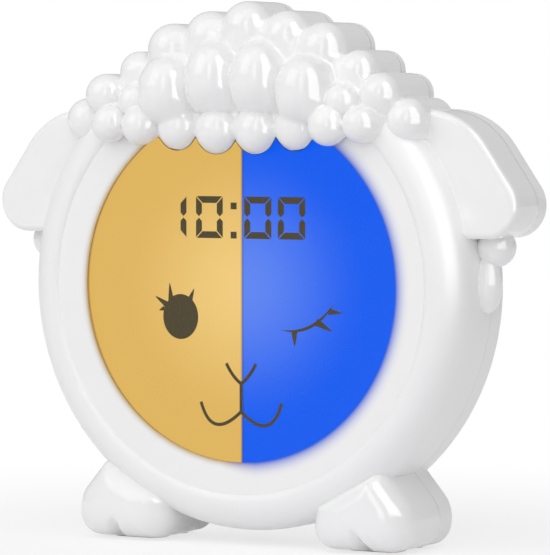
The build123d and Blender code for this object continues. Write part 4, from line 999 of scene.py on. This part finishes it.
# --- Stage --------------------------------------------------------------------------
FLOOR_REACH = 3.0         # metres from the clock to the floor's edge
FLOOR_POINTS = 25
FLOOR_FADE = (0.06, 0.28) # metres from the clock over which the floor turns to plain white
FLOOR_WHITE = 0.72        # share of plain white at the clock


def towards(azimuth, elevation):
    """Unit vector to a place at an azimuth, to the right of straight in front, and an elevation."""
    level = np.cos(elevation)
    return Vector((np.sin(azimuth) * level, -np.cos(azimuth) * level, np.sin(elevation)))


def larger(tree, first, second):
    return add_node(tree, "ShaderNodeMath", {0: first, 1: second}, operation="MAXIMUM").outputs[0]


def seen_white(tree, shade, white):
    """Mixes a surface's or room's own shading with plain white for the rays that show it: straight
    from the camera, in a reflection or through glass."""
    path = add_node(tree, "ShaderNodeLightPath")
    seen = larger(tree, path.outputs["Is Camera Ray"], path.outputs["Is Glossy Ray"])
    seen = larger(tree, seen, path.outputs["Is Transmission Ray"])
    factor = add_node(tree, "ShaderNodeMath", {0: seen, 1: white}, operation="MULTIPLY")
    plain = add_node(tree, "ShaderNodeEmission", {"Color": (1, 1, 1, 1), "Strength": 1.0})
    return add_node(tree, "ShaderNodeMixShader",
                    {0: factor.outputs[0], 1: shade, 2: plain.outputs[0]}).outputs[0]


def make_floor():
    """Pale floor: it keeps a soft shadow near the clock and is plain white farther off."""
    side = np.linspace(-FLOOR_REACH, FLOOR_REACH, FLOOR_POINTS)
    x, y = np.meshgrid(side, side)
    points = np.stack([x, y, 0 * x], axis=-1)
    mesh = bpy.data.meshes.new("floor")
    faces = grid_faces(FLOOR_POINTS, FLOOR_POINTS, False, False)
    mesh.from_pydata(points.reshape(-1, 3), [], faces.tolist())
    floor = bpy.data.objects.new("floor", mesh)
    bpy.context.scene.collection.objects.link(floor)
    material, tree, shader = new_finish("painted_floor", "#F4F4F5", 0.7)
    mottle(tree, shader, 40.0, colours=("#F2F2F3", "#F6F6F7"), roughness=(0.65, 0.8))
    place = add_node(tree, "ShaderNodeTexCoord").outputs["Object"]
    far = add_node(tree, "ShaderNodeVectorMath", {0: place}, operation="LENGTH").outputs["Value"]
    white = add_node(tree, "ShaderNodeMapRange",
                     {0: far, 1: FLOOR_FADE[0], 2: FLOOR_FADE[1], 3: FLOOR_WHITE, 4: 1.0},
                     interpolation_type="SMOOTHSTEP")
    output = tree.nodes["Material Output"]
    tree.links.new(seen_white(tree, shader.outputs[0], white.outputs[0]), output.inputs["Surface"])
    mesh.materials.append(material)


def make_room(level):
    """Pale room: plain white where it is seen, softer where it lights the clock."""
    world = bpy.data.worlds.new("room")
    world.use_nodes = True
    bpy.context.scene.world = world
    tree = world.node_tree
    light = tree.nodes["Background"]
    light.inputs["Color"].default_value = linear("#FCFCFD")
    light.inputs["Strength"].default_value = level
    path = add_node(tree, "ShaderNodeLightPath")
    seen = larger(tree, path.outputs["Is Camera Ray"], path.outputs["Is Transmission Ray"])
    plain = add_node(tree, "ShaderNodeBackground", {"Color": (1, 1, 1, 1), "Strength": 1.0})
    mix = add_node(tree, "ShaderNodeMixShader", {0: seen, 1: light.outputs[0], 2: plain.outputs[0]})
    tree.links.new(mix.outputs[0], tree.nodes["World Output"].inputs["Surface"])


# Each lamp: azimuth from the camera's, in degrees to the right, elevation, distance, width, height,
# brightness, and whether it lights matt surfaces and whether it shows in glossy ones
LAMPS = {
    "right_strip": (40.0, 46.0, 0.29, 0.15, 0.44, 4.8, False, True),
    "front_strip": (-12.0, 22.0, 1.6, 0.4, 1.2, 2.0, False, True),
    "front_soft": (-5.0, 26.0, 1.6, 0.5, 1.0, 1.75, True, False),
    "left_soft": (-60.0, 35.0, 1.5, 1.0, 1.3, 1.5, True, True),
    "top_soft": (10.0, 66.0, 1.5, 1.2, 1.2, 1.1, True, True),
}


def make_lamps(aim, azimuth):
    """Softboxes that face the clock, and strips that stand upright and only show in its gloss. A
    lamp's power is its brightness times pi times its area."""
    for name, (turn, rise, distance, width, height, brightness, matt, glossy) in LAMPS.items():
        away = towards(azimuth + np.radians(turn), np.radians(rise))
        data = bpy.data.lights.new(name, "AREA")
        data.shape, data.size, data.size_y = "RECTANGLE", width, height
        data.energy = brightness * np.pi * width * height
        lamp = bpy.data.objects.new(name, data)
        lamp.location = aim + away * distance
        lamp.rotation_mode = "QUATERNION"
        facing = away if matt else Vector((away.x, away.y, 0.0))
        lamp.rotation_quaternion = facing.to_track_quat("Z", "Y")
        lamp.visible_camera, lamp.visible_diffuse, lamp.visible_glossy = False, matt, glossy
        bpy.context.scene.collection.objects.link(lamp)


def make_camera(context, aim, look):
    """Camera a little above the clock and to its right, far off with a long lens."""
    away = towards(look.azimuth, look.elevation)
    data = bpy.data.cameras.new("camera")
    data.lens, data.sensor_width, data.sensor_fit = look.lens, 36.0, "AUTO"
    data.clip_start, data.clip_end = 0.05, 20.0
    camera = bpy.data.objects.new("camera", data)
    camera.location = aim + away * look.distance
    camera.rotation_mode = "QUATERNION"
    camera.rotation_quaternion = away.to_track_quat("Z", "Y")
    context.scene.collection.objects.link(camera)
    context.scene.camera = camera


# --- Panel and registration ---------------------------------------------------------
OPERATORS = [CLOCK_OT_drum, CLOCK_OT_wool, CLOCK_OT_ears, CLOCK_OT_feet, CLOCK_OT_display,
             CLOCK_OT_finishes, CLOCK_OT_stage]
SETTINGS = {"clock_sizes": ClockSizes, "clock_glow": GlowLook, "clock_display": DisplayLook,
            "clock_stage": StageLook}


class CLOCK_PT_panel(bpy.types.Panel):
    bl_idname = "CLOCK_PT_panel"
    bl_label = "Alarm Clock"
    bl_space_type = "VIEW_3D"
    bl_region_type = "UI"
    bl_category = "Clock"

    def draw(self, context):
        for operator in OPERATORS:
            self.layout.operator(operator.bl_idname)
        for name, group in SETTINGS.items():
            box = self.layout.box()
            for setting in group.__annotations__:
                box.prop(getattr(context.scene, name), setting)


def register():
    for each in [*SETTINGS.values(), *OPERATORS, CLOCK_PT_panel]:
        bpy.utils.register_class(each)
    for name, group in SETTINGS.items():
        setattr(bpy.types.Scene, name, bpy.props.PointerProperty(type=group))


def unregister():
    for name in SETTINGS:
        delattr(bpy.types.Scene, name)
    for each in reversed([*SETTINGS.values(), *OPERATORS, CLOCK_PT_panel]):
        bpy.utils.unregister_class(each)


def main():
    """Builds the dressed clock on its stage."""
    register()
    bpy.ops.clock.drum()
    bpy.ops.clock.wool()
    bpy.ops.clock.ears()
    bpy.ops.clock.feet()
    bpy.ops.clock.display()
    bpy.ops.clock.finishes()
    bpy.ops.clock.stage()


if __name__ == "__main__":
    main()
